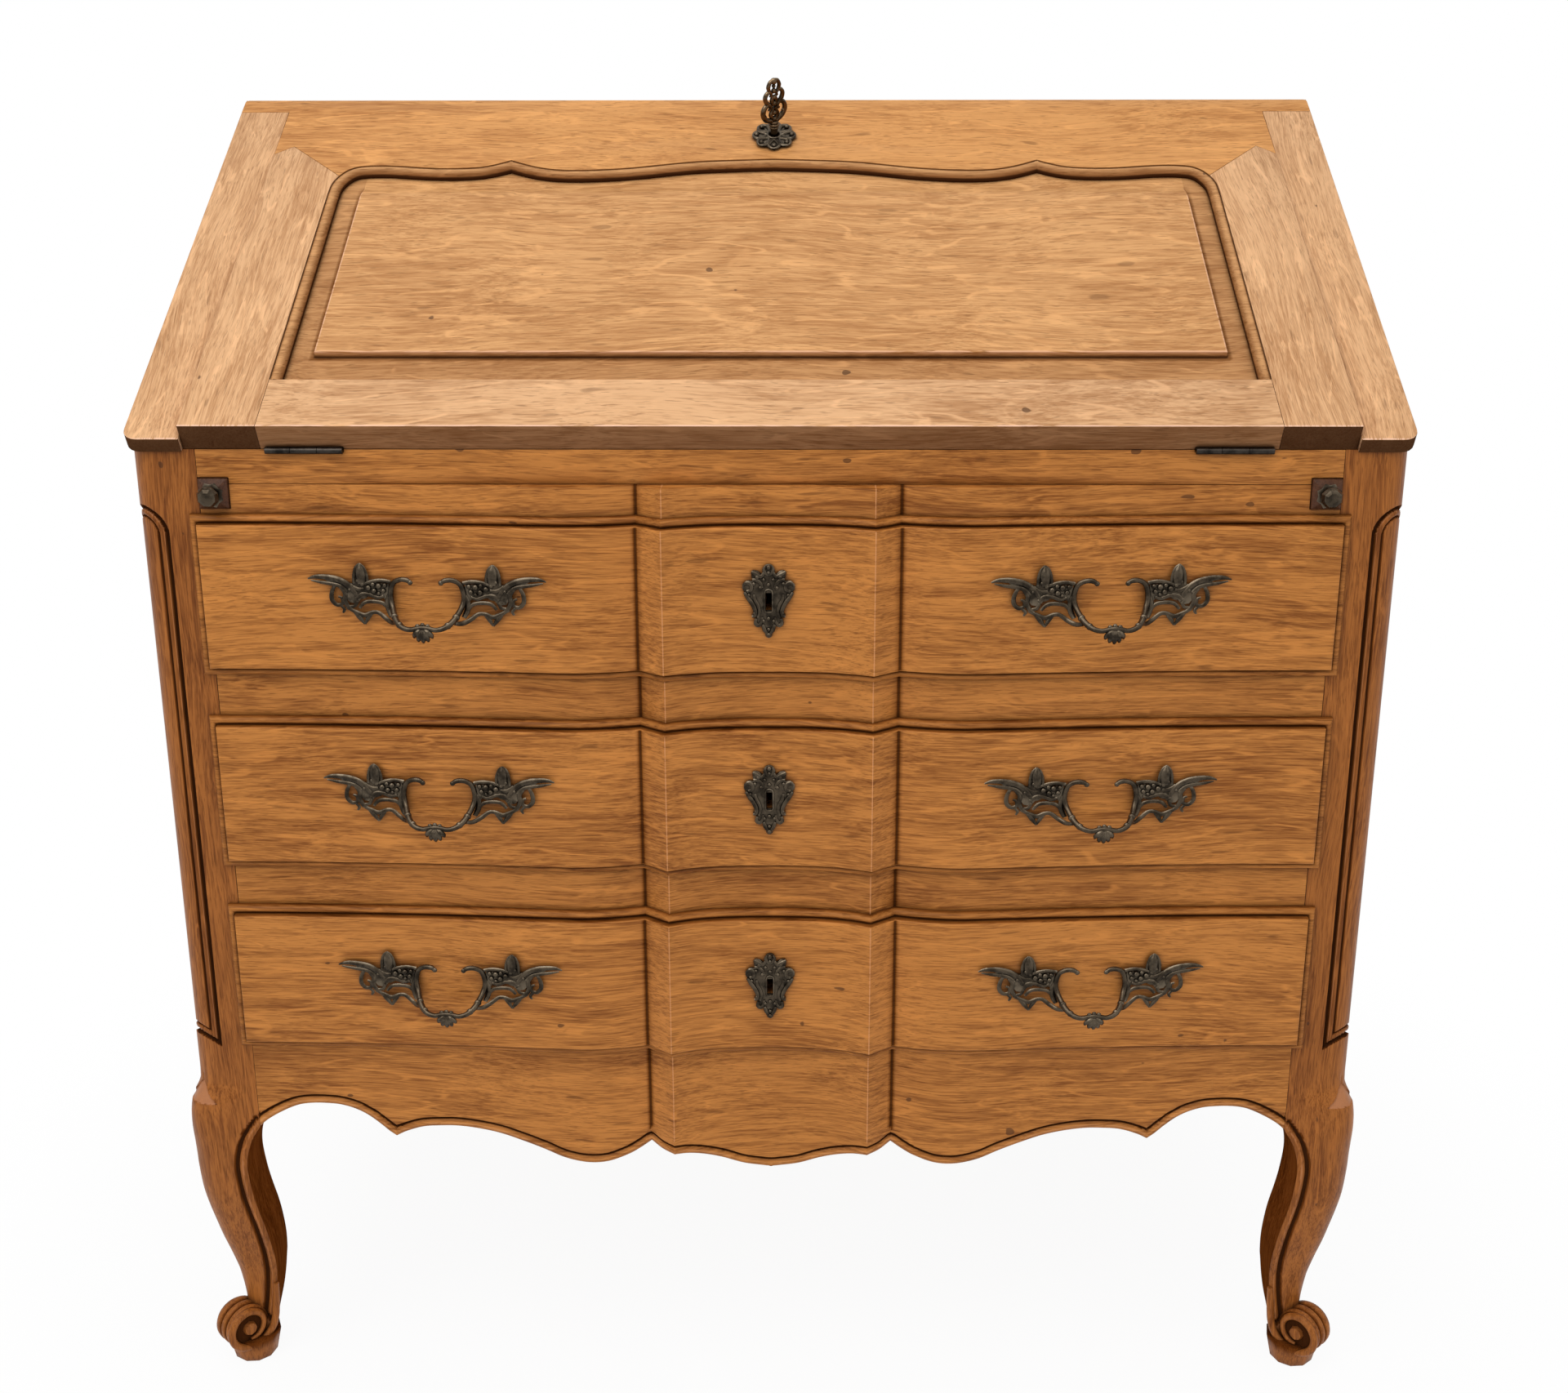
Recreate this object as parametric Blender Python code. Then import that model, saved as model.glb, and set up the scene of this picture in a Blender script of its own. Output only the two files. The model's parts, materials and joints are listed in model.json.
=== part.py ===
"""Slant-front desk on cabriole legs, with a serpentine front and three long drawers.

Metres, +Z up. The desk frame has its origin on the floor, midway between the posts,
on the flat front plane of the posts: +X to the right seen from the front, +Y to the back.
The root empty moves that frame so that the whole desk is centred on the world origin.
"""
import bpy
import bmesh
import math
from mathutils import Matrix, Vector

# Clearances
GAP = 0.0003
OVERRUN = 0.02
MERGE = 0.000001

# Carcass
HALF_W = 0.4565
DEPTH = 0.500
POST = 0.0485
POST_ROUND = 0.0195
POST_PANEL_MARGIN = 0.0052
POST_PANEL_LOW_Z = 0.2935
POST_PANEL_HIGH_Z = 0.7265
POST_GROOVE_R = 0.0019
REAR_ROUND = 0.004
BED_Z = 0.7697
BED_THICK = 0.0247
FRONT_HALF = HALF_W - POST
BOARD_SIDE = 0.0195
SIDE_SET_IN = 0.0005
BACK_THICK = 0.010
BACK_SET_IN = 0.008
BACK_LOW_Z = 0.245

# Serpentine front: how far its crest, crease, corner and hollow stand forward of the flat plane
CREST_SHARE = 0.358
CREASE_SHARE = 0.233
CORNER_SHARE = 0.1863
CREST_X = FRONT_HALF * CREST_SHARE
CREASE_X = FRONT_HALF * CREASE_SHARE
CORNER_X = FRONT_HALF * CORNER_SHARE
CREST_OUT = 0.011
CREASE_OUT = 0.003
CORNER_OUT = 0.0177
HOLLOW_OUT = 0.0055
SWEEP_POWER = 0.58
COVE_POWER = 1.9
HOLLOW_POWER = 2.8
HOLLOW_SHARES = (0.0, 0.35, 0.65, 0.85, 1.0)
COVE_SHARES = (0.0, 0.3, 0.65, 1.0)
SWEEP_SHARES = (0.1, 0.22, 0.36, 0.56, 1.0)

# Lid and its hinges
LID_SLOPE = math.radians(29.6)
LID_OVERHANG = 0.0003
LID_HALF = HALF_W + LID_OVERHANG
LID_THICK = 0.0206
TOP_DEPTH = 0.1148
LID_LEN = (DEPTH - TOP_DEPTH) / math.cos(LID_SLOPE)
LID_FOOT = 0.0028
LID_UNDER = -0.0007
EDGE_THIN = 0.0088
AXIS_Y = -0.0027
AXIS_Z = BED_Z - 0.0004
OUTER_STILE_W = 0.041
INNER_STILE_W = 0.063
OUTER_STILE_X = LID_HALF - OUTER_STILE_W
INNER_STILE_X = OUTER_STILE_X - INNER_STILE_W
STRIP_W = 0.0193
BOTTOM_RAIL_W = 0.053
BOTTOM_RAIL_LAP = 0.0078
BOTTOM_RAIL_HALF = INNER_STILE_X + BOTTOM_RAIL_LAP
MITRE_DROP = 0.1205
MITRE_FOOT = 0.005
STILE_CURVE = 0.022
MITRE_SIDE_DROP = 0.084
MITRE_SET_IN = 0.0145
MITRE_U = LID_LEN - MITRE_DROP
MITRE_PEAK_X = OUTER_STILE_X - MITRE_SET_IN
MITRE_SIDE_U = LID_LEN - MITRE_SIDE_DROP
LID_CORNER_R = 0.006
PANEL_LAP = 0.0088
PANEL_THICK = 0.0133
PANEL_RAISE = 0.0052
PANEL_BEVEL = 0.0012
FIELD_MARGIN = 0.0168
FIELD_DROP = 0.121
ARCH_DROP = 0.0997
FIELD_X = INNER_STILE_X - FIELD_MARGIN
FIELD_LOW_U = 0.0892
FIELD_HIGH_U = LID_LEN - FIELD_DROP
ARCH_TOP_U = LID_LEN - ARCH_DROP
RAIL_TOP_U = LID_FOOT + BOTTOM_RAIL_W
ARCH_RISE = 0.017
OPENING_ROUND = 0.0065
KNUCKLE_R = 0.0024
PIN_R = 0.0011
HINGE_LEN = 0.055
HINGE_SET_IN = -0.004
HINGE_X = INNER_STILE_X - HINGE_SET_IN - HINGE_LEN / 2
KNUCKLE_SHARE = 0.34
LEAF_THICK = 0.0016
LEAF_REACH = 0.022

# Top board
TOP_THICK = 0.0195
TOP_ROUND = 0.004

# Drawers, from the top one down
DRAWER_TOP_Z = 0.7235
DRAWER_PITCH = 0.152
DRAWER_FACE = 0.120
LIP = 0.005
DRAWER_HALF = FRONT_HALF + LIP
LIP_PROUD = 0.0030
BEAD_W = 0.0056
BEAD_PROUD = 0.0030
FIELD_PROUD = 0.0050
FRONT_BACK_Y = 0.014
TRAY_CLEAR = 0.0015
TRAY_SIDE = 0.011
TRAY_BOTTOM = 0.007
TRAY_BACK_ROOM = 0.048
TRAY_BACK_Y = DEPTH - TRAY_BACK_ROOM
TRAY_LOWER = 0.010
RAIL_DEPTH = 0.040
FRIEZE_TOP_Z = 0.7447
RUNNER_W = 0.023
RUNNER_H = 0.018
BATTEN_W = 0.030
BATTEN_SET_IN = 0.006

# Apron: the line of its lower edge, as shares of the half width and of the drop below the drawers
APRON_THICK = 0.022
APRON_DROP = 0.1105
APRON_SHARES = (
    (1.0, 0.719), (0.988, 0.676), (0.96, 0.61), (0.925, 0.549), (0.886, 0.529), (0.84, 0.538),
    (0.82, 0.56), (0.79, 0.616),
    (0.733, 0.783), (0.69, 0.727), (0.65, 0.692), (0.6, 0.692), (0.54, 0.742),
    (0.485, 0.79), (0.43, 0.865), (0.385, 0.93), (0.345, 0.948), (0.31, 0.94), (0.27, 0.885),
    (0.233, 0.805), (0.186, 0.845), (0.15, 0.86), (0.1, 0.915), (0.05, 0.975), (0.0, 1.0))

# Front legs: height, outward swell, inner side, back and corner rounding, as shares of the leg and the post
LEG_TOP_Z = 0.258
LEG_SHARES = (
    (0.08, -0.35, 0.93, 0.85, 0.22), (0.16, -0.346, 0.97, 0.83, 0.22), (0.20, -0.338, 0.98, 0.83, 0.23),
    (0.26, -0.315, 0.99, 0.845, 0.25), (0.32, -0.265, 1.0, 0.865, 0.28), (0.38, -0.19, 0.985, 0.905, 0.32),
    (0.44, -0.1, 0.955, 0.94, 0.36), (0.50, -0.03, 0.915, 0.945, 0.40), (0.565, 0.05, 0.862, 0.92, 0.44),
    (0.64, 0.132, 0.80, 0.87, 0.48), (0.72, 0.178, 0.768, 0.825, 0.52), (0.79, 0.204, 0.795, 0.83, 0.54),
    (0.845, 0.216, 0.915, 0.88, 0.56), (0.88, 0.216, 1.0, 0.94, 0.56), (0.912, 0.206, 1.0, 1.0, 0.54),
    (0.945, 0.176, 1.0, 1.0, 0.50), (0.968, 0.11, 1.0, 1.0, 0.45), (1.0, 0.0, 1.0, 1.0, 0.402))
FOOT_R_TOP = 0.0205
FOOT_R_BOTTOM = 0.0172
FOOT_H = 0.020
FOOT_SIDES = 8
SCROLL_R = 0.0190
SCROLL_W = 0.025
SCROLL_Z = 0.0325
SCROLL_IN = 0.0133
REAR_SWELL_SHARE = 0.7

# Loper and knob
LOPER_W = 0.0213
LOPER_H = 0.0222
LOPER_BACK_ROOM = 0.100
LOPER_LEN = DEPTH - LOPER_BACK_ROOM
LOPER_LOW_Z = 0.7272
CAP_FACE = 0.0145
CAP_STEP = 0.002
CAP_PROUD = 0.007
KNOB_R = 0.0088
KNOB_NECK_R = 0.0042
KNOB_NECK = 0.003
KNOB_LEN = 0.0125
KNOB_SIDES = 8
CHANNEL_WALL = 0.0068
CHANNEL_FLOOR = 0.0072

# Pulls
PULL_SHARE = 0.598
PULL_X = FRONT_HALF * PULL_SHARE
PULL_HALF = 0.0823
PULL_H = 0.0605
PULL_PADS = 0.092
PAD_R = 0.0062
PAD_H = 0.0016
WING_THICK = 0.0032
BAIL_R = 0.0020
BAIL_OUT = 0.0185
SHELL_R = 0.0068

# Locks, key and plates
LOCK_W = 0.060
LOCK_H = 0.042
LOCK_THICK = 0.012
BOLT_W = 0.016
BOLT_THICK = 0.005
BOLT_LEN = 0.022
BOLT_THROW = 0.008
MORTISE_SPARE = 0.002
KEYHOLE_W = 0.0042
KEYHOLE_H = 0.013
PLATE_THICK = 0.0026
PLATE_HALF_W = 0.0188
PLATE_HALF_H = 0.0275
LID_LOCK_W = 0.070
LID_LOCK_LEN = 0.079
LID_LOCK_THICK = 0.012
KEY_DROP = 0.0586
KEY_U = LID_LEN - KEY_DROP
KEY_SHAFT_R = 0.0033
KEY_BIT = 0.0065
KEY_BIT_THICK = 0.0022
KEY_TURN = math.radians(38)
KEY_NECK = 0.013
BOW_H = 0.042
BOW_W = 0.026
BOW_THICK = 0.0042
ROSETTE_R = 0.0195
ROSETTE_THICK = 0.0042
LOBE_SHARE = 0.1

# Fittings behind the lid
GALLERY_FRONT_SHARE = 0.68
GALLERY_STEP_SHARE = 0.818
GALLERY_BACK_Y = DEPTH - POST - GAP
GALLERY_FRONT_Y = (DEPTH - TOP_DEPTH) * GALLERY_FRONT_SHARE
GALLERY_STEP_Y = (DEPTH - TOP_DEPTH) * GALLERY_STEP_SHARE
GALLERY_BOARD = 0.008
SMALL_BAY_H = 0.052
SMALL_DRAWER_SHARE = 0.364
SMALL_DRAWER_INNER_X = FRONT_HALF * SMALL_DRAWER_SHARE
SMALL_FRONT = 0.011
SMALL_WALL = 0.006
SMALL_KNOB_R = 0.0062
SMALL_KNOB_REACH = 0.012
LID_CLEAR = 0.004

HARD_ANGLE = math.radians(35)

SIDES = (("left", -1), ("right", 1))
FACE_PROUD = LIP_PROUD + FIELD_PROUD + BEAD_PROUD * 0.7 + GAP * 3
LID_END = LID_FOOT + LID_LEN
LID_OUTER = LID_UNDER + LID_THICK
OPENING_HALF = FRONT_HALF - GAP
SIDE_OUT_X = HALF_W - SIDE_SET_IN
SIDE_IN_X = SIDE_OUT_X - BOARD_SIDE
POST_BACK_Y = POST + GAP
REAR_FRONT_Y = DEPTH - POST - GAP
APRON_TOP_Z = DRAWER_TOP_Z - 2 * DRAWER_PITCH - DRAWER_FACE + LIP
TOP_LOW_Z = (AXIS_Z + LID_END * math.sin(LID_SLOPE) + LID_OUTER * math.cos(LID_SLOPE)
             - TOP_THICK - GAP)
LOPER_X = FRONT_HALF - LOPER_W / 2 - 2 * GAP


def clear_scene():
    for obj in list(bpy.data.objects):
        bpy.data.objects.remove(obj, do_unlink=True)


def make_collection(name):
    collection = bpy.data.collections.new(name)
    bpy.context.scene.collection.children.link(collection)
    return collection


clear_scene()
PARTS = make_collection("slant_front_desk")
CUTTERS = make_collection("cutters")


# Helpers

def material(name, color, roughness, metallic):
    mat = bpy.data.materials.new(name)
    mat.use_nodes = True
    shader = mat.node_tree.nodes["Principled BSDF"]
    shader.inputs["Base Color"].default_value = (*color, 1.0)
    shader.inputs["Roughness"].default_value = roughness
    shader.inputs["Metallic"].default_value = metallic
    return mat


FINISHES = {
    "walnut": ((0.42, 0.22, 0.085), 0.42, 0.0),
    "lid_walnut": ((0.52, 0.29, 0.13), 0.40, 0.0),
    "dark_walnut": ((0.10, 0.045, 0.025), 0.40, 0.0),
    "pale_oak": ((0.47, 0.33, 0.19), 0.60, 0.0),
    "bronze": ((0.13, 0.10, 0.065), 0.42, 0.9),
    "steel": ((0.16, 0.15, 0.14), 0.45, 0.9),
}


def empty(name, parent, place=(0, 0, 0), turn=0.0):
    obj = bpy.data.objects.new(name, None)
    obj.location = place
    obj.rotation_euler = (turn, 0, 0)
    obj.parent = parent
    PARTS.objects.link(obj)
    bpy.context.view_layer.update()
    return obj


def new_object(name, mesh, parent, collection=None):
    obj = bpy.data.objects.new(name, mesh)
    obj.parent = parent
    (collection or PARTS).objects.link(obj)
    bpy.context.view_layer.update()
    return obj


def finish(obj, finish_name):
    """Give the piece its own material and shade its rounded faces smooth."""
    obj.data.materials.clear()
    obj.data.materials.append(material(obj.name, *FINISHES[finish_name]))
    obj.data.shade_smooth()
    obj.data.set_sharp_from_angle(angle=HARD_ANGLE)
    return obj


def bmesh_object(name, bm, parent):
    mesh = bpy.data.meshes.new(name)
    bmesh.ops.recalc_face_normals(bm, faces=bm.faces)
    bm.to_mesh(mesh)
    bm.free()
    return new_object(name, mesh, parent)


def box(name, parent, low, high):
    bm = bmesh.new()
    low, high = Vector(low), Vector(high)
    size = high - low
    place = Matrix.Translation((low + high) / 2) @ Matrix.Diagonal((*size, 1))
    bmesh.ops.create_cube(bm, size=1, matrix=place)
    return bmesh_object(name, bm, parent)


def cylinder(name, parent, radius, start, end, sides=24, end_radius=None, turn=0.0):
    """A round bar or a cone from start to end."""
    start, end = Vector(start), Vector(end)
    along = end - start
    spin = along.to_track_quat("Z", "Y").to_matrix().to_4x4()
    bm = bmesh.new()
    last = radius if end_radius is None else end_radius
    bmesh.ops.create_cone(bm, cap_ends=True, segments=sides, radius1=radius, radius2=last,
                          depth=along.length,
                          matrix=Matrix.Translation((start + end) / 2) @ spin
                          @ Matrix.Rotation(turn, 4, "Z"))
    return bmesh_object(name, bm, parent)


PLANES = {
    "XY": Matrix.Identity(4),
    "XZ": Matrix(((1, 0, 0, 0), (0, 0, -1, 0), (0, 1, 0, 0), (0, 0, 0, 1))),
    "YZ": Matrix(((0, 0, 1, 0), (1, 0, 0, 0), (0, 1, 0, 0), (0, 0, 0, 1))),
}


def prism(name, parent, outlines, plane, low, high):
    """A flat outline, with any holes, extruded from low to high square to its plane."""
    if plane == "XZ":
        low, high = -high, -low
    bm = bmesh.new()
    face = bm.faces.new([bm.verts.new((across, up, low)) for across, up in outlines[0]])
    grown = bmesh.ops.extrude_face_region(bm, geom=[face])
    for part in grown["geom"]:
        if isinstance(part, bmesh.types.BMVert):
            part.co.z = high
    bmesh.ops.transform(bm, matrix=PLANES[plane], verts=bm.verts)
    obj = bmesh_object(name, bm, parent)
    holes = [prism("hole", parent, [hole], plane, low - OVERRUN, high + OVERRUN) if plane != "XZ"
             else prism("hole", parent, [hole], plane, -high - OVERRUN, -low + OVERRUN)
             for hole in outlines[1:]]
    if holes:
        cut(obj, holes)
    return obj


def tube(name, parent, points, radius, resolution=1, closed=False):
    """A round bar bent through the points, as a welded mesh. A point may carry its own thickness share."""
    curve = bpy.data.curves.new(name, "CURVE")
    curve.dimensions = "3D"
    curve.bevel_depth = radius
    curve.bevel_resolution = resolution
    curve.use_fill_caps = True
    spline = curve.splines.new("POLY")
    spline.use_cyclic_u = closed
    spline.points.add(len(points) - 1)
    for point, values in zip(spline.points, points):
        point.co = (*values[:3], 1)
        point.radius = values[3] if len(values) > 3 else 1
    drawn = bpy.data.objects.new(name, curve)
    CUTTERS.objects.link(drawn)
    bpy.context.view_layer.update()
    mesh = bpy.data.meshes.new_from_object(drawn.evaluated_get(bpy.context.evaluated_depsgraph_get()))
    bpy.data.objects.remove(drawn)
    bpy.data.curves.remove(curve)
    bm = bmesh.new()
    bm.from_mesh(mesh)
    bmesh.ops.remove_doubles(bm, verts=bm.verts, dist=MERGE)
    bmesh.ops.recalc_face_normals(bm, faces=bm.faces)
    bm.to_mesh(mesh)
    bm.free()
    return new_object(name, mesh, parent)


def loft(name, parent, rings):
    """A closed solid through rings of equally many points, from the first ring to the last."""
    bm = bmesh.new()
    rows = [[bm.verts.new(point) for point in ring] for ring in rings]
    count = len(rings[0])
    for lower, upper in zip(rows, rows[1:]):
        for i in range(count):
            j = (i + 1) % count
            bm.faces.new((lower[i], lower[j], upper[j], upper[i]))
    bm.faces.new(rows[0])
    bm.faces.new(rows[-1])
    return bmesh_object(name, bm, parent)


def combine(obj, others, operation):
    """Join the others to the piece, or cut them from it, and remove them."""
    for other in others:
        other.display_type = "WIRE"
        other.hide_render = True
        step = obj.modifiers.new("step", "BOOLEAN")
        step.object = other
        step.operation = operation
        step.solver = "EXACT"
    bpy.context.view_layer.update()
    mesh = bpy.data.meshes.new_from_object(obj.evaluated_get(bpy.context.evaluated_depsgraph_get()))
    obj.modifiers.clear()
    obj.data = mesh
    for other in others:
        bpy.data.objects.remove(other, do_unlink=True)
    return obj


def cut(obj, cutters):
    return combine(obj, cutters, "DIFFERENCE")


def join(obj, others):
    return combine(obj, others, "UNION")


def rounded(corner, centre_turn, radius, steps):
    """Points of a quarter round about a corner's arc centre, starting at centre_turn."""
    points = []
    for i in range(steps + 1):
        angle = centre_turn + math.pi / 2 * i / steps
        points.append((corner[0] + radius * math.cos(angle), corner[1] + radius * math.sin(angle)))
    return points


# Serpentine front

def bow(x):
    """How far the serpentine front stands forward of the flat plane at x."""
    x = abs(x)
    if x >= CREST_X:
        share = min(1, (x - CREST_X) / (FRONT_HALF - CREST_X))
        return CREST_OUT * (1 + math.cos(math.pi * share ** SWEEP_POWER)) / 2
    if x >= CREASE_X:
        share = (CREST_X - x) / (CREST_X - CREASE_X)
        return CREST_OUT - (CREST_OUT - CREASE_OUT) * share ** COVE_POWER
    if x >= CORNER_X:
        share = (CREASE_X - x) / (CREASE_X - CORNER_X)
        return CREASE_OUT + (CORNER_OUT - CREASE_OUT) * share
    return HOLLOW_OUT + (CORNER_OUT - HOLLOW_OUT) * (x / CORNER_X) ** HOLLOW_POWER


def stations():
    """The places across the front where its curve is sampled."""
    found = [CORNER_X * share for share in HOLLOW_SHARES]
    found += [CREASE_X + (CREST_X - CREASE_X) * share for share in COVE_SHARES]
    found += [CREST_X + (FRONT_HALF - CREST_X) * share for share in SWEEP_SHARES]
    return sorted({-x for x in found} | set(found))


def bow_front(obj, back_y):
    """Bend the face and edges that lie in front of back_y along the serpentine line."""
    bm = bmesh.new()
    bm.from_mesh(obj.data)
    for x in stations():
        geometry = bm.verts[:] + bm.edges[:] + bm.faces[:]
        bmesh.ops.bisect_plane(bm, geom=geometry, dist=MERGE, plane_co=(x, 0, 0), plane_no=(1, 0, 0))
    for vert in bm.verts:
        if vert.co.y < back_y:
            vert.co.y -= bow(vert.co.x)
    bmesh.ops.recalc_face_normals(bm, faces=bm.faces)
    bm.to_mesh(obj.data)
    bm.free()
    return obj


# Lid frame

def under_lid_z(y):
    """Height of the closed lid's underside at y."""
    return AXIS_Z + (LID_UNDER + (y - AXIS_Y) * math.sin(LID_SLOPE)) / math.cos(LID_SLOPE)


def lid_point(u, v):
    """The place in Y and Z of a point of the closed lid, u along it and v square to it."""
    y = AXIS_Y + u * math.cos(LID_SLOPE) - v * math.sin(LID_SLOPE)
    z = AXIS_Z + u * math.sin(LID_SLOPE) + v * math.cos(LID_SLOPE)
    return y, z


root = empty("slant_front_desk_frame", None)
lid_axis = empty("lid_axis", root, (0, AXIS_Y, AXIS_Z), LID_SLOPE)


# Posts and legs

def post_ring(z_front, z_back, low, high_a, high_b, radius, side, steps=6):
    """A section: from the swelling outer corner at low to the inner sides, one corner rounded."""
    low_a, low_b = low
    arc = []
    for i in range(steps + 1):
        angle = -math.pi / 2 - math.pi / 2 * i / steps
        arc.append((low_a + radius + radius * math.cos(angle), low_b + radius + radius * math.sin(angle)))
    points = [(high_a, low_b)] + arc + [(low_a, high_b), (high_a, high_b)]
    ring = []
    for a, b in points:
        share = (b - low_b) / (high_b - low_b)
        z = z_front + (z_back - z_front) * share
        ring.append((side * (HALF_W - a), b, z))
    return ring


def on_corner(along, z, side):
    """A place on the post's surface, along it from where the flat front meets the rounded corner."""
    quarter = POST_ROUND * math.pi / 2
    turn = max(0, min(along, quarter)) / POST_ROUND
    across = POST_ROUND * (1 - math.sin(turn)) + max(0, -along)
    back = POST_ROUND * (1 - math.cos(turn)) + max(0, along - quarter)
    return side * (HALF_W - across), back, z


def corner_groove(side):
    """The groove of the arched sunk panel on the post's corner, as a closed bent bar."""
    middle = POST_ROUND * math.pi / 4
    half = middle + POST_PANEL_MARGIN
    spring_z = POST_PANEL_HIGH_Z - half
    steps = 8
    path = []
    for i in range(steps + 1):
        angle = math.pi * i / steps
        path.append((middle + half * math.cos(angle), spring_z + half * math.sin(angle)))
    for i in range(steps + 1):
        path.append((middle - half + 2 * half * i / steps, POST_PANEL_LOW_Z))
    return tube("groove", root, [on_corner(along, z, side) for along, z in path], POST_GROOVE_R, 1, True)


def front_post(name, side):
    rings = []
    for height_share, swell_share, inner_share, back_share, round_share in LEG_SHARES:
        z = LEG_TOP_Z * height_share
        out = -POST * swell_share
        rings.append(post_ring(z, z, (out, out), POST * inner_share, POST * back_share, POST * round_share,
                               side))
    top_front = under_lid_z(0) - GAP
    top_back = under_lid_z(POST) - GAP
    rings.append(post_ring(top_front, top_back, (0, 0), POST, POST, POST_ROUND, side))
    obj = loft(name, root, rings)
    centre_x = side * (HALF_W - SCROLL_IN)
    reach = SCROLL_W / 2 * math.sqrt(0.5)
    scroll = cylinder("scroll", root, SCROLL_R,
                      (centre_x - side * reach, SCROLL_IN - reach, SCROLL_Z),
                      (centre_x + side * reach, SCROLL_IN + reach, SCROLL_Z))
    block = cylinder("block", root, FOOT_R_BOTTOM, (side * (HALF_W - POST / 2), POST / 2, 0),
                     (side * (HALF_W - POST / 2), POST / 2, FOOT_H), FOOT_SIDES, FOOT_R_TOP,
                     math.pi / FOOT_SIDES)
    join(obj, [scroll, block])
    cut(obj, [corner_groove(side)])
    return finish(obj, "walnut")


def rear_post(name, side):
    rings = []
    for height_share, swell_share, inner_share, _, round_share in LEG_SHARES:
        if height_share == LEG_SHARES[0][0]:
            height_share = 0
        z = LEG_TOP_Z * height_share
        out = -POST * swell_share * REAR_SWELL_SHARE
        inner = POST * inner_share
        rings.append(post_ring(z, z, (out, DEPTH - inner), inner, DEPTH, REAR_ROUND, side, 2))
    top_z = TOP_LOW_Z - GAP
    rings.append(post_ring(top_z, top_z, (0, DEPTH - POST), POST, DEPTH, REAR_ROUND, side, 2))
    return finish(loft(name, root, rings), "walnut")


for word, side in SIDES:
    front_post(word + "_front_post", side)
    rear_post(word + "_rear_post", side)


# Side frames with their panels

SIDE_PANEL_LOW_Z = 0.345
SIDE_PANEL_HIGH_Z = 0.700
SIDE_STILE_W = 0.0565
SIDE_PANEL_FRONT_Y = POST + SIDE_STILE_W
SIDE_PANEL_BACK_Y = DEPTH - POST - SIDE_STILE_W
SIDE_LAP = 0.006
SIDE_REBATE = 0.0105
SIDE_MARGIN = 0.022
SIDE_RAISE = 0.0055
SIDE_LOW_Z = 0.235
SIDE_DROP = 0.026
SIDE_EDGE_SHARES = ((0.0, 0.0), (0.06, 0.36), (0.13, 0.5), (0.2, 0.36), (0.26, -0.1), (0.32, 0.04),
                    (0.4, -0.35), (0.45, -0.66), (0.5, -0.75))


def side_outline():
    front, back = POST_BACK_Y, REAR_FRONT_Y
    span = back - front
    lower = [(front + span * along, SIDE_LOW_Z + SIDE_DROP * up) for along, up in SIDE_EDGE_SHARES]
    lower += [(back - span * along, SIDE_LOW_Z + SIDE_DROP * up) for along, up in SIDE_EDGE_SHARES[-2::-1]]
    top_z = TOP_LOW_Z - GAP
    rise_y = AXIS_Y + ((top_z + GAP - AXIS_Z) * math.cos(LID_SLOPE) - LID_UNDER) / math.sin(LID_SLOPE)
    return lower + [(back, top_z), (rise_y, top_z), (front, under_lid_z(front) - GAP)]


def side_frame(name, side):
    obj = prism(name, root, [side_outline()], "YZ", SIDE_IN_X, SIDE_OUT_X)
    through = box("through", root, (SIDE_IN_X - OVERRUN, SIDE_PANEL_FRONT_Y, SIDE_PANEL_LOW_Z),
                  (SIDE_OUT_X + OVERRUN, SIDE_PANEL_BACK_Y, SIDE_PANEL_HIGH_Z))
    rebate = box("rebate", root,
                 (SIDE_IN_X - OVERRUN, SIDE_PANEL_FRONT_Y - SIDE_LAP, SIDE_PANEL_LOW_Z - SIDE_LAP),
                 (SIDE_IN_X + SIDE_REBATE, SIDE_PANEL_BACK_Y + SIDE_LAP, SIDE_PANEL_HIGH_Z + SIDE_LAP))
    cut(obj, [through, rebate])
    if side < 0:
        flip(obj)
    return finish(obj, "walnut")


def flip(obj):
    """Turn a right-hand piece into a left-hand one."""
    obj.data.transform(Matrix.Diagonal((-1, 1, 1, 1)))
    obj.data.flip_normals()
    return obj


def raise_face(obj, direction, steps):
    """Inset the face that looks along direction, once for each pair of inset and rise."""
    bm = bmesh.new()
    bm.from_mesh(obj.data)
    bm.normal_update()
    direction = Vector(direction)
    face = max(bm.faces, key=lambda f: f.normal.dot(direction) + f.calc_area())
    for inset, rise in steps:
        bmesh.ops.inset_individual(bm, faces=[face], thickness=inset, depth=rise, use_even_offset=True)
    bmesh.ops.recalc_face_normals(bm, faces=bm.faces)
    bm.to_mesh(obj.data)
    bm.free()
    return obj


def side_panel(name, side):
    lap = SIDE_LAP - GAP
    obj = box(name, root,
              (SIDE_IN_X, SIDE_PANEL_FRONT_Y - lap, SIDE_PANEL_LOW_Z - lap),
              (SIDE_IN_X + SIDE_REBATE - GAP, SIDE_PANEL_BACK_Y + lap, SIDE_PANEL_HIGH_Z + lap))
    raise_face(obj, (1, 0, 0), ((SIDE_LAP + SIDE_MARGIN, 0), (SIDE_RAISE, SIDE_RAISE)))
    if side < 0:
        flip(obj)
    return finish(obj, "walnut")


for word, side in SIDES:
    side_frame(word + "_side_frame", side)
    side_panel(word + "_side_panel", side)


# Boards and rails of the carcass

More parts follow.
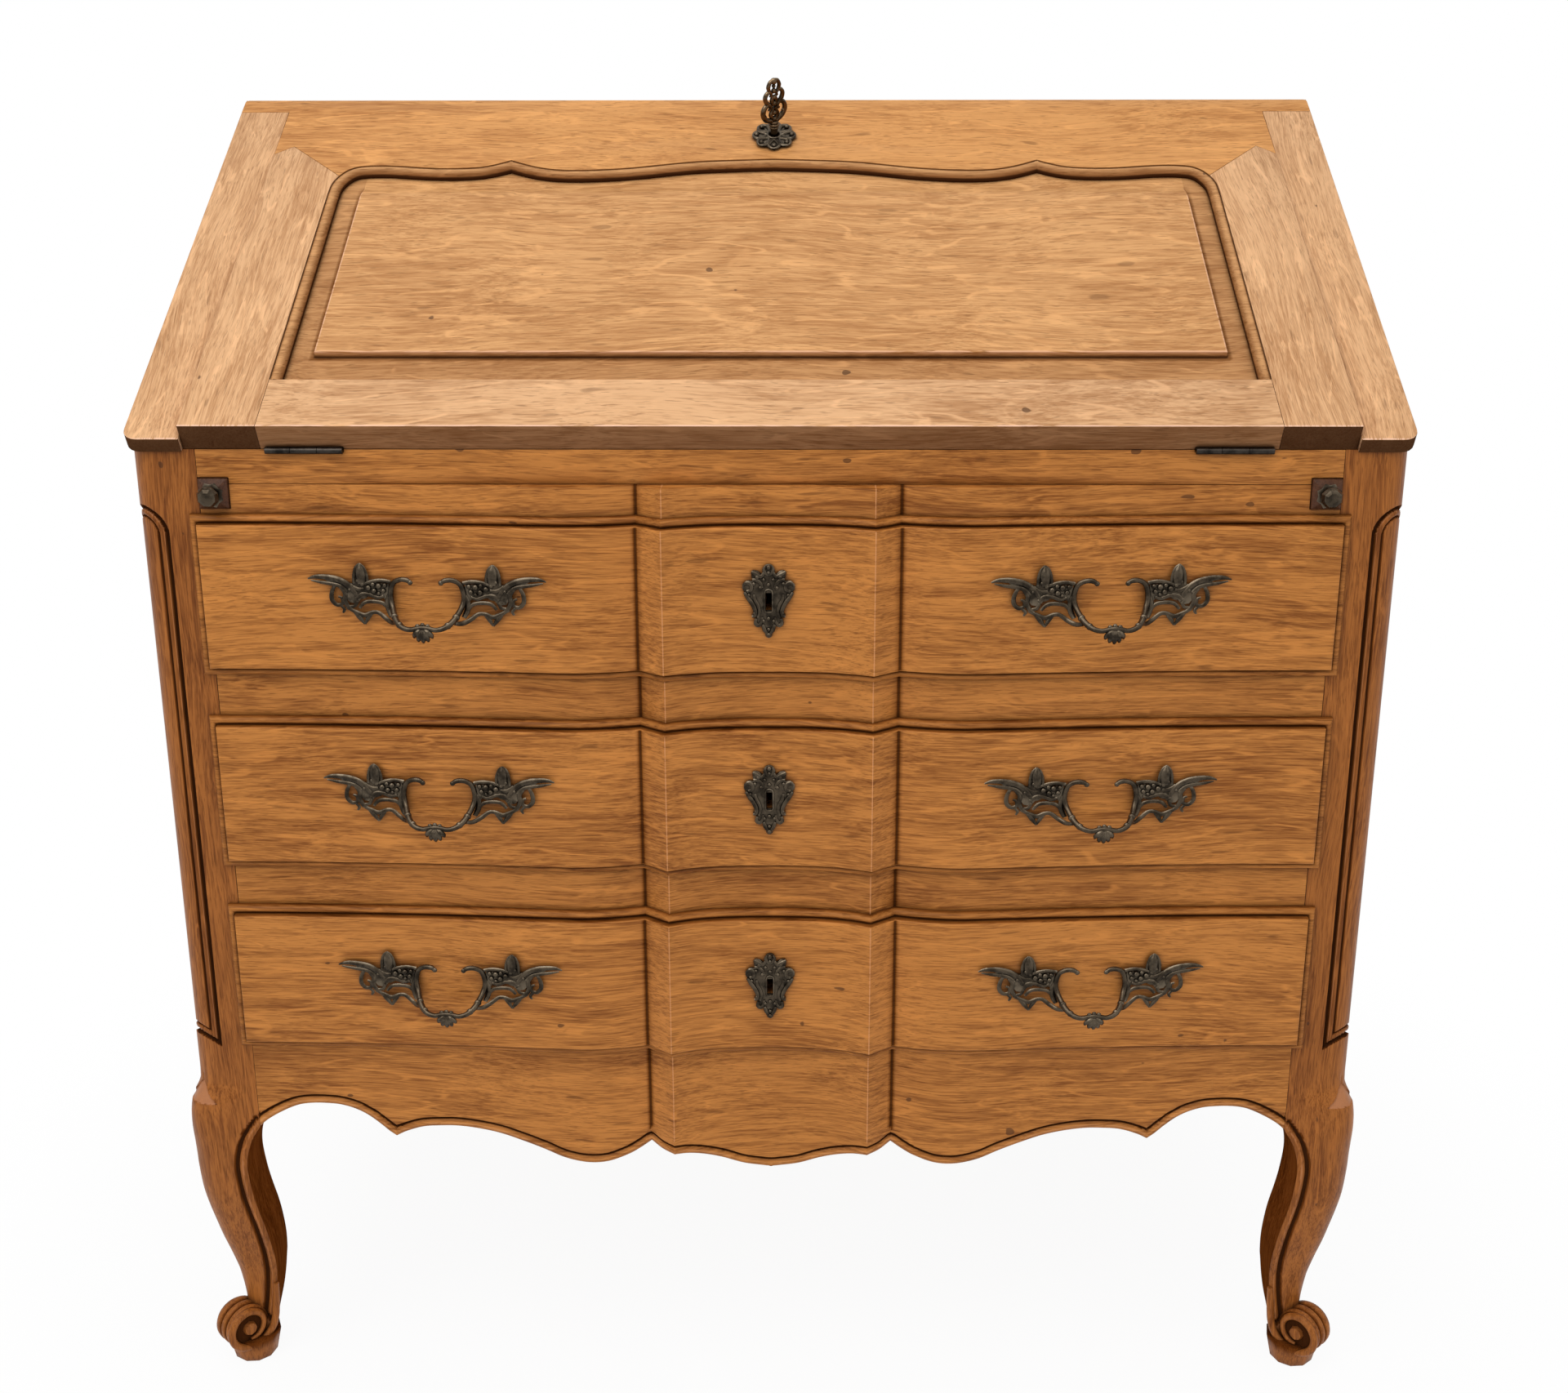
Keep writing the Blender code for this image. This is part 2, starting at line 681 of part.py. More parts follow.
def loper_groove(top_z, low_z):
    return [box("groove", root, (side * LOPER_X - LOPER_W / 2 - GAP * 2, -OVERRUN, low_z),
                (side * LOPER_X + LOPER_W / 2 + GAP * 2, DEPTH, top_z)) for _, side in SIDES]


def writing_bed():
    half = FRONT_HALF - GAP
    wide = SIDE_IN_X - GAP
    front, back = POST_BACK_Y + GAP, REAR_FRONT_Y - GAP
    end = DEPTH - BACK_SET_IN - BACK_THICK - GAP
    right = [(half, 0), (half, front), (wide, front), (wide, back), (half, back), (half, end)]
    left = [(-x, y) for x, y in reversed(right)]
    obj = prism("writing_bed", root, [right + left], "XY", BED_Z - BED_THICK, BED_Z)
    cutters = loper_groove(LOPER_LOW_Z + LOPER_H + GAP, LOPER_LOW_Z - OVERRUN)
    for _, side in SIDES:
        cutters.append(box("seat", root,
                           (side * HINGE_X - HINGE_LEN / 2 - GAP, -OVERRUN, BED_Z - LEAF_THICK - GAP),
                           (side * HINGE_X + HINGE_LEN / 2 + GAP, LEAF_REACH + GAP, BED_Z + OVERRUN)))
    cut(obj, cutters)
    return finish(obj, "walnut")


def drawer_z(index):
    """Lower and upper edge of a drawer's face, counted from the top."""
    high = DRAWER_TOP_Z - DRAWER_PITCH * index
    return high - DRAWER_FACE, high


def bolt_mortise(index):
    """The hole in the rail above a drawer that its lock's bolt enters."""
    top_z = drawer_z(index)[1] - LIP
    y = FRONT_BACK_Y + GAP + LOCK_THICK / 2
    return box("mortise", root,
               (-BOLT_W / 2 - GAP, y - BOLT_THICK / 2 - GAP, top_z - OVERRUN),
               (BOLT_W / 2 + GAP, y + BOLT_THICK / 2 + GAP, top_z + BOLT_THROW + MORTISE_SPARE))


def frieze_rail():
    low_z = DRAWER_TOP_Z - LIP
    obj = box("frieze_rail", root, (-OPENING_HALF, 0, low_z), (OPENING_HALF, RAIL_DEPTH, FRIEZE_TOP_Z))
    cut(obj, loper_groove(FRIEZE_TOP_Z + OVERRUN, LOPER_LOW_Z - GAP) + [bolt_mortise(0)])
    return finish(bow_front(obj, GAP), "walnut")


def divider_rail(name, index):
    high_z = drawer_z(index - 1)[0] + LIP
    low_z = drawer_z(index)[1] - LIP
    obj = box(name, root, (-OPENING_HALF, 0, low_z), (OPENING_HALF, RAIL_DEPTH, high_z))
    cut(obj, [bolt_mortise(index)])
    return finish(bow_front(obj, GAP), "walnut")


def apron_outline():
    half = [(OPENING_HALF * x, APRON_TOP_Z - APRON_DROP * down) for x, down in APRON_SHARES]
    lower = half + [(-x, z) for x, z in reversed(half[:-1])]
    return lower + [(-OPENING_HALF, APRON_TOP_Z), (OPENING_HALF, APRON_TOP_Z)]


def front_apron():
    obj = prism("front_apron", root, [apron_outline()], "XZ", 0, APRON_THICK)
    return finish(bow_front(obj, GAP), "walnut")


def back_panel():
    obj = box("back_panel", root, (-OPENING_HALF, DEPTH - BACK_SET_IN - BACK_THICK, BACK_LOW_Z),
              (OPENING_HALF, DEPTH - BACK_SET_IN, TOP_LOW_Z - GAP))
    return finish(obj, "pale_oak")


def top_board():
    front_top = lid_point(LID_END + GAP, LID_OUTER)
    top_z = TOP_LOW_Z + TOP_THICK
    lean = math.tan(LID_SLOPE)
    back = DEPTH
    outline = [(front_top[0] - (top_z - front_top[1]) * lean, top_z),
               (front_top[0] + (front_top[1] - TOP_LOW_Z) * lean, TOP_LOW_Z), (back, TOP_LOW_Z)]
    outline += rounded((back - TOP_ROUND, top_z - TOP_ROUND), 0, TOP_ROUND, 4)
    obj = prism("top_board", root, [outline], "YZ", -LID_HALF, LID_HALF)
    mortise = box("mortise", lid_axis,
                  (-BOLT_W / 2 - GAP, LID_END - OVERRUN, LID_BOLT_V - BOLT_THICK / 2 - GAP),
                  (BOLT_W / 2 + GAP, LID_END + BOLT_THROW + MORTISE_SPARE, LID_BOLT_V + BOLT_THICK / 2 + GAP))
    cut(obj, [mortise])
    return finish(obj, "walnut")


LID_BOLT_V = LID_UNDER + LID_LOCK_THICK / 2
writing_bed()
frieze_rail()
divider_rail("upper_divider_rail", 1)
divider_rail("lower_divider_rail", 2)
front_apron()
back_panel()
top_board()


# Runner frames: battens on the side frames that carry the drawers and guide the lopers

def runner_frame(name, side):
    outer = SIDE_IN_X - GAP
    front, back = POST_BACK_Y + GAP, REAR_FRONT_Y - GAP
    loper_in = LOPER_X - LOPER_W / 2 - 2 * GAP
    floor_z = LOPER_LOW_Z - GAP
    under_bed = BED_Z - BED_THICK - GAP
    obj = box(name, root, (loper_in - CHANNEL_WALL, front, floor_z - CHANNEL_FLOOR), (outer, back, floor_z))
    pieces = [box("guide", root, (loper_in - CHANNEL_WALL, front, floor_z - CHANNEL_FLOOR / 2),
                  (loper_in, back, under_bed)),
              box("guide", root, (FRONT_HALF, front, floor_z - CHANNEL_FLOOR / 2), (outer, back, under_bed))]
    for index in range(3):
        top_z = drawer_z(index)[0] + LIP
        pieces.append(box("runner", root, (FRONT_HALF - RUNNER_W, front, top_z - RUNNER_H),
                          (outer, back, top_z)))
    low_z = drawer_z(2)[0] + LIP - RUNNER_H
    for start in (front + BATTEN_SET_IN, back - BATTEN_SET_IN - BATTEN_W):
        pieces.append(box("batten", root, (FRONT_HALF + TRAY_CLEAR, start, low_z + GAP),
                          (outer - GAP, start + BATTEN_W, floor_z - GAP)))
    join(obj, pieces)
    if side < 0:
        flip(obj)
    return finish(obj, "pale_oak")


for word, side in SIDES:
    runner_frame(word + "_runner_frame", side)


# Lopers that carry the open lid, and their knobs

def loper(name, side):
    x = side * LOPER_X
    high_z = LOPER_LOW_Z + LOPER_H - GAP
    slide = empty(name + "_slide", root, (x, 0, (LOPER_LOW_Z + high_z) / 2))
    half_h = (high_z - LOPER_LOW_Z) / 2
    half_w = LOPER_W / 2
    obj = box(name, slide, (-half_w, -CAP_STEP, -half_h), (half_w, LOPER_LEN, half_h))
    raise_face(obj, (0, -1, 0), ((half_w - CAP_FACE / 2, CAP_PROUD - CAP_STEP),))
    finish(obj, "dark_walnut")
    return slide


def turned(name, parent, centre, table, sides, turn=0.0):
    """A turned piece along -Y from centre: a ring for each pair of radius and distance."""
    rings = []
    for radius, along in table:
        rings.append([(centre[0] + radius * math.cos(turn + 2 * math.pi * i / sides), centre[1] - along,
                       centre[2] + radius * math.sin(turn + 2 * math.pi * i / sides)) for i in range(sides)])
    return loft(name, parent, rings)


def loper_knob(name, slide):
    start = CAP_PROUD + GAP
    waist = (KNOB_NECK + KNOB_LEN) / 2
    table = ((KNOB_NECK_R, start), (KNOB_NECK_R, start + KNOB_NECK), (KNOB_R, start + waist),
             (KNOB_R / 2, start + KNOB_LEN))
    obj = turned(name, slide, (0, 0, 0), table, KNOB_SIDES, math.pi / KNOB_SIDES)
    return finish(obj, "bronze")


for word, side in SIDES:
    loper_knob(word + "_loper_knob", loper(word + "_loper", side))


# Drawers

def drawer_front(name, slide):
    """A lipped front with a bead all round and a raised field, bent along the serpentine line."""
    half_h = DRAWER_FACE / 2
    obj = box(name, slide, (-DRAWER_HALF, -GAP - LIP_PROUD, -half_h), (DRAWER_HALF, -GAP, half_h))
    bead = ((BEAD_W * 0.12, BEAD_PROUD * 0.55), (BEAD_W * 0.25, BEAD_PROUD * 0.37),
            (BEAD_W * 0.3, BEAD_PROUD * 0.08), (BEAD_W * 0.33, -BEAD_PROUD * 0.3), (GAP, FIELD_PROUD),
            (GAP * 4, GAP * 2))
    raise_face(obj, (0, -1, 0), bead)
    core_in = LIP + GAP * 3
    core = box("core", slide, (-DRAWER_HALF + core_in, -GAP - LIP_PROUD / 2, -half_h + core_in),
               (DRAWER_HALF - core_in, FRONT_BACK_Y, half_h - core_in))
    join(obj, [core])
    keyhole = box("keyhole", slide, (-KEYHOLE_W / 2, -OVERRUN, -KEYHOLE_H / 2),
                  (KEYHOLE_W / 2, OVERRUN, KEYHOLE_H / 2))
    bow_front(obj, GAP)
    cut(obj, [keyhole])
    return finish(obj, "walnut")


def drawer_tray(name, slide):
    half_h = DRAWER_FACE / 2
    half_w = FRONT_HALF - TRAY_CLEAR
    low_z = -half_h + LIP + GAP
    high_z = half_h - LIP - TRAY_LOWER
    front = FRONT_BACK_Y + GAP
    obj = box(name, slide, (-half_w, front, low_z), (half_w, TRAY_BACK_Y, high_z))
    hollow = box("hollow", slide, (-half_w + TRAY_SIDE, front - OVERRUN, low_z + TRAY_BOTTOM),
                 (half_w - TRAY_SIDE, TRAY_BACK_Y - TRAY_SIDE, high_z + OVERRUN))
    cut(obj, [hollow])
    return finish(obj, "pale_oak")


def drawer_lock(name, slide):
    """A box lock on the back of the front, with a slot in its top for the bolt."""
    half_h = DRAWER_FACE / 2
    high_z = half_h - LIP - GAP * 3
    front = FRONT_BACK_Y + GAP
    obj = box(name, slide, (-LOCK_W / 2, front, high_z - LOCK_H), (LOCK_W / 2, front + LOCK_THICK, high_z))
    middle = front + LOCK_THICK / 2
    slot = box("slot", slide, (-BOLT_W / 2 - GAP, middle - BOLT_THICK / 2 - GAP, high_z - BOLT_LEN - GAP),
               (BOLT_W / 2 + GAP, middle + BOLT_THICK / 2 + GAP, high_z + OVERRUN))
    keyway = box("keyway", slide, (-KEYHOLE_W / 2, -OVERRUN, -KEYHOLE_H / 2),
                 (KEYHOLE_W / 2, middle, KEYHOLE_H / 2))
    cut(obj, [slot, keyway])
    finish(obj, "steel")
    bolt = box(name.replace("lock", "bolt"), slide, (-BOLT_W / 2, -BOLT_THICK / 2, -BOLT_LEN / 2),
               (BOLT_W / 2, BOLT_THICK / 2, BOLT_LEN / 2))
    bolt.location = (0, middle, high_z - BOLT_LEN / 2)
    bpy.context.view_layer.update()
    return finish(bolt, "steel")


PLATE_SHARES = (
    (0.0, 1.0), (0.2, 0.9), (0.3, 0.72), (0.62, 0.8), (0.82, 0.66), (0.72, 0.46), (0.92, 0.4),
    (1.0, 0.12), (0.84, -0.04), (0.8, -0.3), (0.56, -0.42), (0.64, -0.64), (0.46, -0.72),
    (0.42, -0.88), (0.2, -0.84), (0.0, -1.0))


def escutcheon(name, slide):
    half = [(PLATE_HALF_W * x, PLATE_HALF_H * z) for x, z in PLATE_SHARES]
    outline = half + [(-x, z) for x, z in reversed(half[1:-1])]
    hole = [(-KEYHOLE_W / 2, -KEYHOLE_H / 2), (KEYHOLE_W / 2, -KEYHOLE_H / 2),
            (KEYHOLE_W / 2, KEYHOLE_H / 2), (-KEYHOLE_W / 2, KEYHOLE_H / 2)]
    seat = -FACE_PROUD - bow(PLATE_HALF_W) - GAP
    obj = prism(name, slide, [outline, hole], "XZ", seat - PLATE_THICK, seat)
    return finish(obj, "bronze")


WING_SHARES = (
    (0.298, 0.223), (0.492, 0.235), (0.504, 0.298), (0.516, 0.397), (0.552, 0.438), (0.589, 0.397),
    (0.608, 0.281), (0.626, 0.223), (0.68, 0.218), (0.765, 0.258), (0.871, 0.284), (0.972, 0.284),
    (1.0, 0.255), (0.96, 0.22), (0.875, 0.205), (0.802, 0.165), (0.784, 0.099), (0.808, 0.017),
    (0.778, -0.058), (0.711, -0.064), (0.65, -0.099), (0.608, -0.149), (0.565, -0.248),
    (0.537, -0.289), (0.504, -0.231), (0.486, -0.179), (0.437, -0.157), (0.37, -0.2),
    (0.31, -0.19), (0.286, -0.066), (0.292, 0.066))
EYE_SHARES = (
    (0.377, -0.058), (0.437, -0.036), (0.51, -0.046), (0.541, -0.099), (0.492, -0.132),
    (0.437, -0.112), (0.377, -0.15))
BAIL_SHARES = (
    (0.125, 0.245, 0.25, 0.7), (0.17, 0.271, 0.18, 0.9), (0.225, 0.264, 0.12, 1.0),
    (0.273, 0.223, 0.05, 1.0), (0.298, 0.14, 0.02, 1.0), (0.306, 0.033, 0.02, 1.0),
    (0.289, -0.058, 0.15, 1.0), (0.265, -0.132, 0.42, 1.05), (0.231, -0.198, 0.7, 1.1),
    (0.176, -0.248, 0.92, 1.05), (0.109, -0.264, 1.0, 1.0), (0.049, -0.251, 1.0, 1.0),
    (0.0, -0.248, 1.0, 1.1))
SPUR_SHARES = ((0.37, -0.17, 0.0, 0.7), (0.33, -0.2, 0.12, 0.8), (0.26, -0.17, 0.5, 0.8))
PULL_PAD_RISE_SHARE = 0.115


def pull(name, slide, side):
    """A cast pull: a pierced leaf wing at each end and a bail between them with a shell drop."""
    low_pad, high_pad = PULL_X + PULL_PADS / 2, PULL_X - PULL_PADS / 2
    low_out, high_out = bow(low_pad), bow(high_pad)
    turn = math.atan2(high_out - low_out, PULL_PADS)
    middle = (low_out + high_out) / 2 + FACE_PROUD + GAP
    holder = empty(name + "_seat", slide, (side * PULL_X, -middle, 0))
    holder.rotation_euler = (0, 0, side * turn)
    bpy.context.view_layer.update()
    back, front = -PAD_H - WING_THICK, -PAD_H
    layer = (back + front) / 2
    pieces = []
    for _, hand in SIDES:
        wing = [(hand * PULL_HALF * x, PULL_H * z) for x, z in WING_SHARES]
        eye = [(hand * PULL_HALF * x, PULL_H * z) for x, z in EYE_SHARES]
        pieces.append(prism("wing", holder, [wing, eye], "XZ", back, front))
        pad_x = hand * PULL_PADS / 2
        pad_z = PULL_H * PULL_PAD_RISE_SHARE
        pieces.append(cylinder("pad", holder, PAD_R, (pad_x, 0, pad_z), (pad_x, layer, pad_z), 12))
        spur = [(hand * PULL_HALF * x, layer - BAIL_OUT * out, PULL_H * z, r) for x, z, out, r in SPUR_SHARES]
        pieces.append(tube("spur", holder, spur, BAIL_R))
    half = [(-PULL_HALF * x, layer - BAIL_OUT * out, PULL_H * z, r) for x, z, out, r in BAIL_SHARES]
    path = half + [(-x, y, z, r) for x, y, z, r in reversed(half[:-1])]
    bail = tube(name, holder, path, BAIL_R)
    bm = bmesh.new()
    place = Vector((0, layer - BAIL_OUT, half[-1][2] - SHELL_R))
    bmesh.ops.create_uvsphere(bm, u_segments=10, v_segments=6, radius=1,
                              matrix=Matrix.Translation(place)
                              @ Matrix.Diagonal((SHELL_R * 0.95, SHELL_R * 0.6, SHELL_R, 1)))
    pieces.append(bmesh_object("shell", bm, holder))
    join(bail, pieces)
    return finish(bail, "bronze")


def drawer(index):
    name = "drawer_%d" % (index + 1)
    low_z, high_z = drawer_z(index)
    slide = empty(name + "_slide", root, (0, 0, (low_z + high_z) / 2))
    drawer_front(name + "_front", slide)
    drawer_tray(name + "_tray", slide)
    drawer_lock(name + "_lock", slide)
    escutcheon(name + "_escutcheon", slide)
    for word, side in SIDES:
        pull("%s_%s_pull" % (name, word), slide, side)


for index in range(3):
    drawer(index)


# Lid, modelled flat in its own frame: x across, y up the slope from the hinge axis, z square to it

def outer_stile(name, side):
    low_u, high_u = LID_FOOT, LID_END - STRIP_W - GAP
    outline = [(OUTER_STILE_X + GAP, low_u)]
    outline += rounded((LID_HALF - LID_CORNER_R, low_u + LID_CORNER_R), -math.pi / 2, LID_CORNER_R, 5)
    outline += [(LID_HALF, high_u), (OUTER_STILE_X + GAP, high_u)]
    obj = prism(name, lid_axis, [outline], "XY", LID_UNDER, LID_OUTER)
    taper = prism("taper", lid_axis,
                  [[(low_u - OVERRUN, LID_OUTER - EDGE_THIN - EDGE_THIN * OVERRUN / LID_LEN),
                    (high_u, LID_OUTER), (high_u, LID_OUTER + OVERRUN), (low_u - OVERRUN, LID_OUTER + OVERRUN)]],
                  "YZ", OUTER_STILE_X - OVERRUN, LID_HALF + OVERRUN)
    cut(obj, [taper])
    if side < 0:
        flip(obj)
    return finish(obj, "lid_walnut")


def panel_rebate():
    edge = PANEL_LAP
    return box("rebate", lid_axis,
               (-INNER_STILE_X - edge, RAIL_TOP_U - edge, LID_UNDER - OVERRUN),
               (INNER_STILE_X + edge, ARCH_TOP_U + edge, LID_UNDER + PANEL_THICK + GAP))


def round_opening(obj):
    """Round the upper edge of the lid frame where it borders the opening."""
    bm = bmesh.new()
    bm.from_mesh(obj.data)
    edges = []
    for edge in bm.edges:
        middle = (edge.verts[0].co + edge.verts[1].co) / 2
        level = min(vert.co.z for vert in edge.verts) > LID_OUTER - MERGE
        inside = abs(middle.x) < INNER_STILE_X + MERGE and RAIL_TOP_U < middle.y < ARCH_TOP_U + MERGE
        if level and inside and edge.calc_face_angle(0) > HARD_ANGLE:
            edges.append(edge)
    bmesh.ops.bevel(bm, geom=edges, offset=OPENING_ROUND, segments=3, profile=0.5, affect="EDGES",
                    clamp_overlap=True)
    bm.to_mesh(obj.data)
    bm.free()
    return obj


STILE_CURVE_SHARES = ((0.45, 0.5), (0.1, 0.8), (0.0, 1.0))


def inner_stile(name, side):
    outline = [(INNER_STILE_X, RAIL_TOP_U + GAP), (BOTTOM_RAIL_HALF + GAP, RAIL_TOP_U + GAP),
               (BOTTOM_RAIL_HALF + GAP, LID_FOOT), (OUTER_STILE_X, LID_FOOT), (OUTER_STILE_X, MITRE_SIDE_U),
               (MITRE_PEAK_X, MITRE_U + MITRE_PEAK_X - INNER_STILE_X),
               (INNER_STILE_X - MITRE_FOOT, MITRE_U - MITRE_FOOT)]
    for bend, along in STILE_CURVE_SHARES:
        outline.append((INNER_STILE_X - MITRE_FOOT * bend, MITRE_U - STILE_CURVE * along))
    obj = prism(name, lid_axis, [outline], "XY", LID_UNDER, LID_OUTER)
    cut(round_opening(obj), [panel_rebate()])
    if side < 0:
        flip(obj)
    return finish(obj, "lid_walnut")


ARCH_SHARES = ((0.967, -0.135), (0.945, 0.13), (0.922, 0.3), (0.896, 0.41), (0.84, 0.32), (0.78, 0.176),
               (0.73, 0.15), (0.684, 0.276), (0.65, 0.5), (0.6156, 0.865), (0.585, 0.55), (0.545, 0.235),
               (0.468, 0.0), (0.343, 0.176), (0.26, 0.45), (0.182, 0.765), (0.09, 0.94), (0.0, 1.0))


def top_rail():
    half = [(INNER_STILE_X * x, ARCH_TOP_U - ARCH_RISE + ARCH_RISE * up) for x, up in ARCH_SHARES]
    strip_u = LID_END - STRIP_W
    right = [(INNER_STILE_X - MITRE_FOOT, MITRE_U - MITRE_FOOT + GAP * 1.5),
             (MITRE_PEAK_X, MITRE_U + MITRE_PEAK_X - INNER_STILE_X + GAP * 1.5),
             (OUTER_STILE_X, MITRE_SIDE_U + GAP), (OUTER_STILE_X, strip_u), (LID_HALF, strip_u)]
    right += rounded((LID_HALF - LID_CORNER_R / 2, LID_END - LID_CORNER_R / 2), 0, LID_CORNER_R / 2, 3)
    outline = list(reversed(half)) + right
    outline += [(-x, u) for x, u in reversed(outline[1:])]
    obj = prism("lid_top_rail", lid_axis, [outline], "XY", LID_UNDER, LID_OUTER)
    pocket = box("pocket", lid_axis,
                 (-LID_LOCK_W / 2 - GAP, LID_END - LID_LOCK_LEN - GAP, LID_UNDER - OVERRUN),
                 (LID_LOCK_W / 2 + GAP, LID_END + OVERRUN, LID_UNDER + LID_LOCK_THICK + GAP))
    keyhole = cylinder("keyhole", lid_axis, KEY_SHAFT_R + GAP, (0, KEY_U, LID_UNDER - OVERRUN),
                       (0, KEY_U, LID_OUTER + OVERRUN), 16)
    cut(round_opening(obj), [panel_rebate(), pocket, keyhole])
    return finish(obj, "lid_walnut")


def bottom_rail():
    obj = box("lid_bottom_rail", lid_axis, (-BOTTOM_RAIL_HALF, LID_FOOT, LID_UNDER),
              (BOTTOM_RAIL_HALF, RAIL_TOP_U, LID_OUTER))
    cutters = [panel_rebate()]
    for _, side in SIDES:
        cutters.append(box("seat", lid_axis,
                           (side * HINGE_X - HINGE_LEN / 2 - GAP, -OVERRUN, LID_UNDER - OVERRUN),
                           (side * HINGE_X + HINGE_LEN / 2 + GAP, LEAF_REACH + GAP, LID_UNDER + LEAF_THICK + GAP)))
    cut(obj, cutters)
    return finish(obj, "lid_walnut")


def lid_panel():
    edge = PANEL_LAP - GAP
    low_u = RAIL_TOP_U - edge
    high_u = ARCH_TOP_U + edge
    obj = box("lid_panel", lid_axis, (-INNER_STILE_X - edge, low_u, LID_UNDER),
              (INNER_STILE_X + edge, high_u, LID_UNDER + PANEL_THICK))
    field = box("field", lid_axis, (-FIELD_X, FIELD_LOW_U, LID_UNDER + PANEL_THICK / 2),
                (FIELD_X, FIELD_HIGH_U, LID_UNDER + PANEL_THICK + PANEL_RAISE))
    raise_face(field, (0, 0, 1), ((PANEL_BEVEL, PANEL_BEVEL / 2),))
    join(obj, [field])
    return finish(obj, "lid_walnut")


for word, side in SIDES:
    outer_stile("lid_%s_outer_stile" % word, side)
    inner_stile("lid_%s_inner_stile" % word, side)
top_rail()
bottom_rail()
lid_panel()


# Hinges: a fixed leaf with two knuckles and the pin, a lid leaf with the middle knuckle

def knuckle(parent, x, length, centre, radius=KNUCKLE_R):
    return cylinder("knuckle", parent, radius, (x - length / 2, *centre), (x + length / 2, *centre), 16)


def hinge(word, side):
    x = side * HINGE_X
    half = HINGE_LEN / 2
    middle_half = HINGE_LEN * KNUCKLE_SHARE / 2
    outer_len = half - middle_half - GAP
    centre = (AXIS_Y, AXIS_Z)
    start_y = AXIS_Y + KNUCKLE_R + GAP
    fixed = box(word + "_hinge_fixed_leaf", root, (x - half, start_y, BED_Z - LEAF_THICK),
                (x + half, LEAF_REACH, BED_Z))
    pieces = []
    for _, hand in SIDES:
        mid = x + hand * (half - outer_len / 2)
        pieces.append(knuckle(root, mid, outer_len, centre))
        pieces.append(box("tongue", root, (mid - outer_len / 2, AXIS_Y, BED_Z - LEAF_THICK),
                          (mid + outer_len / 2, start_y + LEAF_THICK, BED_Z)))
    pieces.append(knuckle(root, x, HINGE_LEN - outer_len, centre, PIN_R))
    join(fixed, pieces)
    finish(fixed, "steel")
    swing = box(word + "_hinge_lid_leaf", lid_axis, (x - half, KNUCKLE_R + GAP, LID_UNDER),
                (x + half, LEAF_REACH, LID_UNDER + LEAF_THICK))
    join(swing, [knuckle(lid_axis, x, 2 * middle_half, (0, 0)),
                 box("tongue", lid_axis, (x - middle_half, 0, LID_UNDER),
                     (x + middle_half, KNUCKLE_R + LEAF_THICK, LID_UNDER + LEAF_THICK))])
    cut(swing, [knuckle(lid_axis, x, HINGE_LEN, (0, 0), PIN_R + GAP)])
    finish(swing, "steel")


for word, side in SIDES:
    hinge(word, side)


# Lid lock, its bolt, the key and the rosette round the keyhole

def lid_lock():
    start = LID_END - LID_LOCK_LEN
    obj = box("lid_lock", lid_axis, (-LID_LOCK_W / 2, start, LID_UNDER),
              (LID_LOCK_W / 2, LID_END, LID_UNDER + LID_LOCK_THICK))
    slot = box("slot", lid_axis,
               (-BOLT_W / 2 - GAP, LID_END - BOLT_LEN - GAP, LID_BOLT_V - BOLT_THICK / 2 - GAP),
               (BOLT_W / 2 + GAP, LID_END + OVERRUN, LID_BOLT_V + BOLT_THICK / 2 + GAP))
    wall = (LID_LOCK_THICK - KEY_BIT) / 2
    chamber = cylinder("chamber", lid_axis, KEY_SHAFT_R + KEY_BIT + GAP, (0, KEY_U, LID_UNDER + wall - GAP),
                       (0, KEY_U, LID_UNDER + wall + KEY_BIT + GAP), 24)
    keyhole = cylinder("keyhole", lid_axis, KEY_SHAFT_R + GAP, (0, KEY_U, LID_BOLT_V),
                       (0, KEY_U, LID_UNDER + LID_LOCK_THICK + OVERRUN), 16)
    cut(obj, [slot, chamber, keyhole])
    finish(obj, "steel")
    bolt = box("lid_bolt", lid_axis, (-BOLT_W / 2, -BOLT_LEN / 2, -BOLT_THICK / 2),
               (BOLT_W / 2, BOLT_LEN / 2, BOLT_THICK / 2))
    bolt.location = (0, LID_END - BOLT_LEN / 2, LID_BOLT_V)
    bpy.context.view_layer.update()
    finish(bolt, "steel")


BOW_SHARES = (
    (0.16, 0.0), (0.3, 0.1), (0.7, 0.14), (0.92, 0.28), (1.0, 0.45), (0.86, 0.6), (0.6, 0.66),
    (0.72, 0.8), (0.5, 0.94), (0.2, 1.0))
BOW_HOLE_SHARES = ((0.18, 0.2), (0.55, 0.27), (0.72, 0.42), (0.55, 0.54), (0.18, 0.55))
BOW_EYE_SHARES = ((0.15, 0.72), (0.36, 0.76), (0.3, 0.88), (0.15, 0.9))


